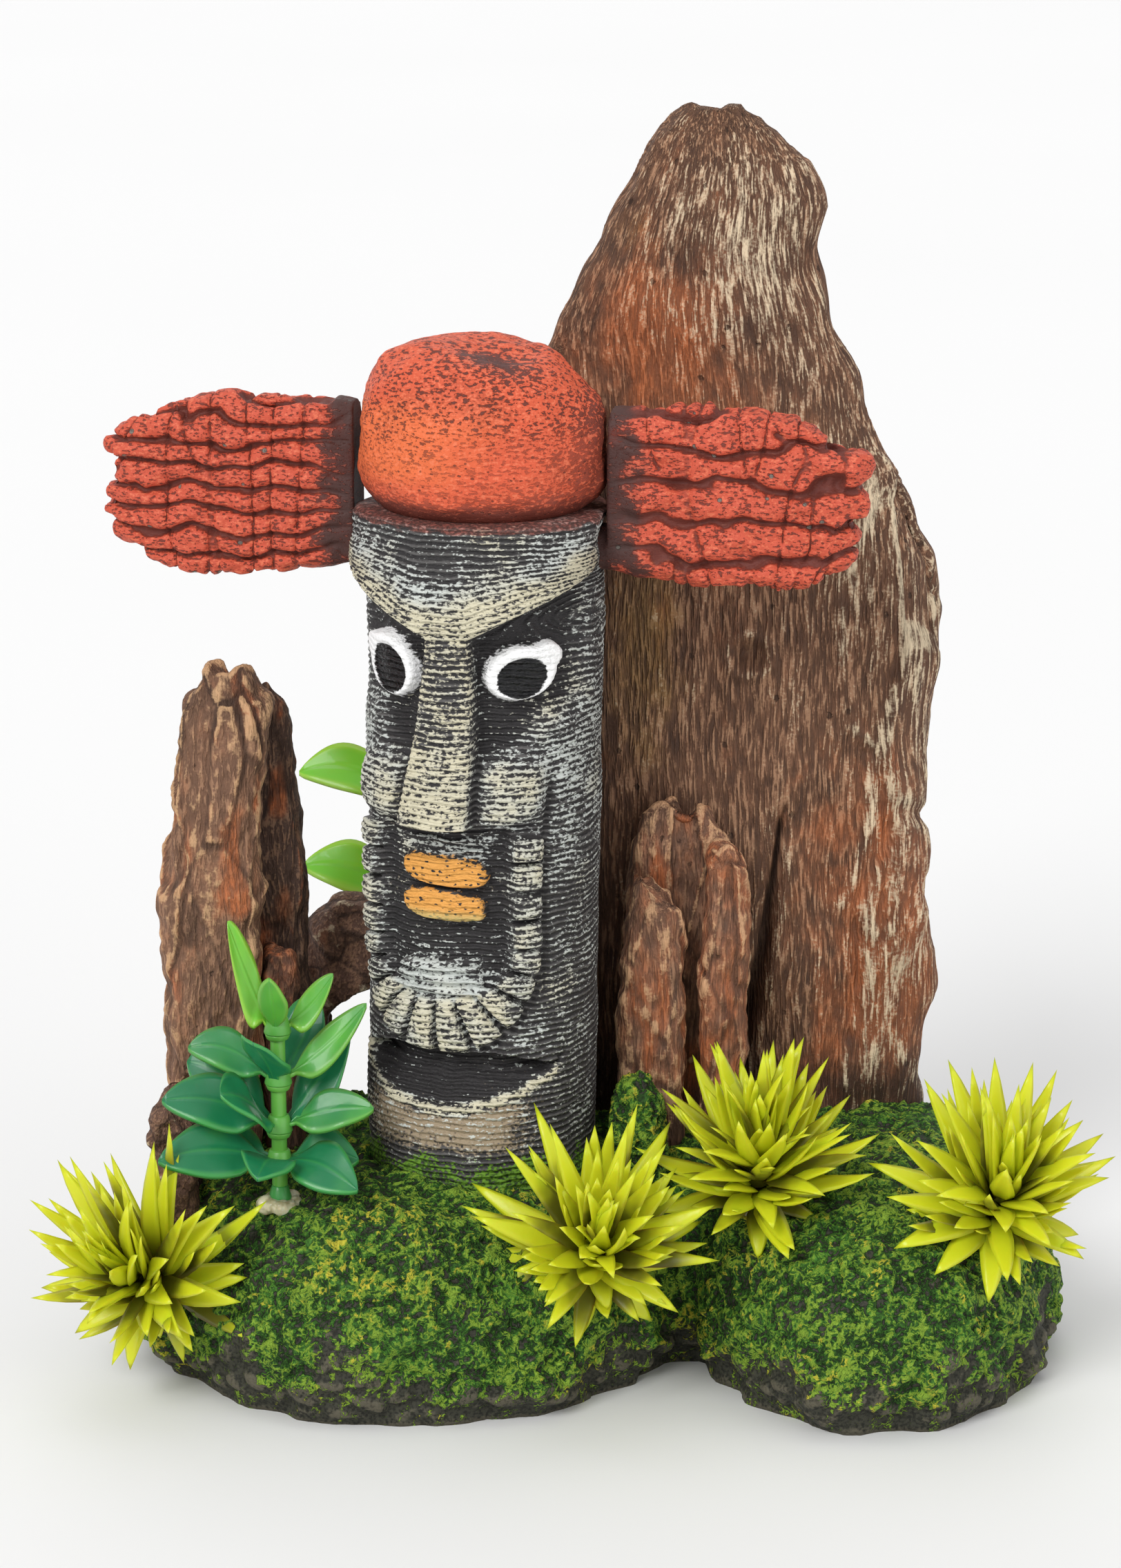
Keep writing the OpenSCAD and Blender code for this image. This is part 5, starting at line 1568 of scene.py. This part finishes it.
GLUE_DROPS, GLUE_RING_R = 9, 2.2


def make_glue(plants):
    """Rings of glue round every stem, with small drips."""
    shape = bmesh.new()
    for k, stem in enumerate([BROADLEAF, REAR_PLANT, *TUFTS.values()]):
        for turn in range(GLUE_DROPS):
            angle = math.tau * turn / GLUE_DROPS
            size = 1.3 + 0.35 * math.sin(turn * 2.7 + k * 1.9)
            lift = -0.2 + 0.4 * math.sin(turn * 1.3 + k)
            spot = Vector((math.cos(angle) * GLUE_RING_R, math.sin(angle) * GLUE_RING_R, lift))
            seat = stem @ Matrix.Translation(spot)
            bmesh.ops.create_icosphere(shape, subdivisions=3, radius=size, matrix=seat)
    glue = even_skin(shape, 0.3)
    glue.push(rough(glue.spots / 1.6, 2, 300) * 0.2)
    look = Finish("hot_glue")
    cloud = look.noise(look.place(), 1.6, detail=2)
    milky = look.mix(plants.glue, linear(150, 144, 104), cloud.rise(0.4, 0.7))
    look.coat(milky, 0.3, cloud, 0.2, 0.5)
    finish = look.set(specular_ior_level=0.5, subsurface_weight=0.3, subsurface_scale=0.001)
    glue.place("glue_beads", finish, "hot_glue")


class TIKI_OT_glue(Operator):
    """Lay the glue at the foot of every plant"""

    bl_idname = "tiki.glue"
    bl_label = "Hot glue"

    def execute(self, context):
        make_glue(context.scene.tiki_plants)
        return {"FINISHED"}


# ---- stage ----------------------------------------------------------------------------------


# Lights: name, place, spread in degrees, share of the key light's strength
LIGHTS = [("key_light", (-0.5, -0.8, 0.8), 28, 1.0), ("fill_light", (0.8, -0.7, 0.35), 50, 0.35),
          ("top_light", (0.1, 0.3, 0.95), 50, 0.3), ("back_light", (-0.3, 0.9, 0.4), 50, 0.2)]
AMBIENT = 0.6
AIM_X, AIM_SHARE = -0.0006, 0.472  # where the camera aims: metres, and share of the ornament's height
FLOOR_HALF = 6


def soft_light(name, spot, aim, spread, strength):
    """A broad even light from the side of a spot."""
    lamp = bpy.data.lights.new(name, "SUN")
    lamp.angle = math.radians(spread)
    lamp.energy = strength
    holder = bpy.data.objects.new(name, lamp)
    holder.location = spot
    holder.rotation_mode = "QUATERNION"
    holder.rotation_quaternion = (aim - Vector(spot)).to_track_quat("-Z", "Y")
    bpy.context.scene.collection.objects.link(holder)


class TIKI_OT_stage(Operator):
    """Set the camera, the pale floor and the soft lights"""

    bl_idname = "tiki.stage"
    bl_label = "Stage"

    def execute(self, context):
        stage = context.scene.tiki_stage
        low, high = CAD_BOX
        aim = Vector((AIM_X, 0, low.z + (high.z - low.z) * AIM_SHARE))
        camera = bpy.data.cameras.new("camera")
        camera.lens = camera.sensor_width * stage.distance / stage.view_height
        holder = bpy.data.objects.new("camera", camera)
        back = Vector((0, -math.cos(stage.height_angle), math.sin(stage.height_angle)))
        holder.location = aim + back * stage.distance
        holder.rotation_mode = "QUATERNION"
        holder.rotation_quaternion = (-back).to_track_quat("-Z", "Y")
        context.scene.collection.objects.link(holder)
        context.scene.camera = holder
        shape = bmesh.new()
        bmesh.ops.create_grid(shape, x_segments=8, y_segments=8, size=FLOOR_HALF)
        mesh = bpy.data.meshes.new("floor")
        shape.to_mesh(mesh)
        shape.free()
        floor = bpy.data.objects.new("floor", mesh)
        context.scene.collection.objects.link(floor)
        look = Finish("floor")
        pale = look.mix(stage.floor, darker(stage.floor, 0.97), look.noise(look.place(), 400))
        mesh.materials.append(look.coat(pale, 0.9).set(specular_ior_level=0.1))
        for name, spot, spread, share in LIGHTS:
            soft_light(name, spot, aim, spread, stage.key * share)
        world = bpy.data.worlds.new("pale_room")
        world.use_nodes = True
        world.node_tree.nodes["Background"].inputs["Color"].default_value = (1, 1, 1, 1)
        world.node_tree.nodes["Background"].inputs["Strength"].default_value = AMBIENT
        context.scene.world = world
        context.scene.view_settings.view_transform = "Standard"
        return {"FINISHED"}


STEPS = (TIKI_OT_stage, TIKI_OT_rock, TIKI_OT_totem, TIKI_OT_topknot, TIKI_OT_wings, TIKI_OT_slab,
         TIKI_OT_stump, TIKI_OT_post, TIKI_OT_rocks, TIKI_OT_broadleaf, TIKI_OT_rear_plant,
         TIKI_OT_grass, TIKI_OT_glue)


class TIKI_PT_panel(Panel):
    """Lists the steps that build the ornament"""

    bl_label = "Tiki figure"
    bl_idname = "TIKI_PT_panel"
    bl_space_type = "VIEW_3D"
    bl_region_type = "UI"
    bl_category = "Tiki figure"

    def draw(self, context):
        for step in STEPS:
            self.layout.operator(step.bl_idname)
        for name in SETTINGS:
            group = getattr(context.scene, name)
            column = self.layout.box().column()
            column.label(text=type(group).__name__)
            for key in group.__annotations__:
                column.prop(group, key)


def register():
    for group in SETTINGS.values():
        bpy.utils.register_class(group)
    for name, group in SETTINGS.items():
        setattr(bpy.types.Scene, name, PointerProperty(type=group))
    for step in (*STEPS, TIKI_PT_panel):
        bpy.utils.register_class(step)


def unregister():
    for step in (TIKI_PT_panel, *reversed(STEPS)):
        bpy.utils.unregister_class(step)
    for name, group in SETTINGS.items():
        delattr(bpy.types.Scene, name)
        bpy.utils.unregister_class(group)


def main():
    register()
    for step in STEPS:
        family, name = step.bl_idname.split(".")
        getattr(getattr(bpy.ops, family), name)()


if __name__ == "__main__":
    main()
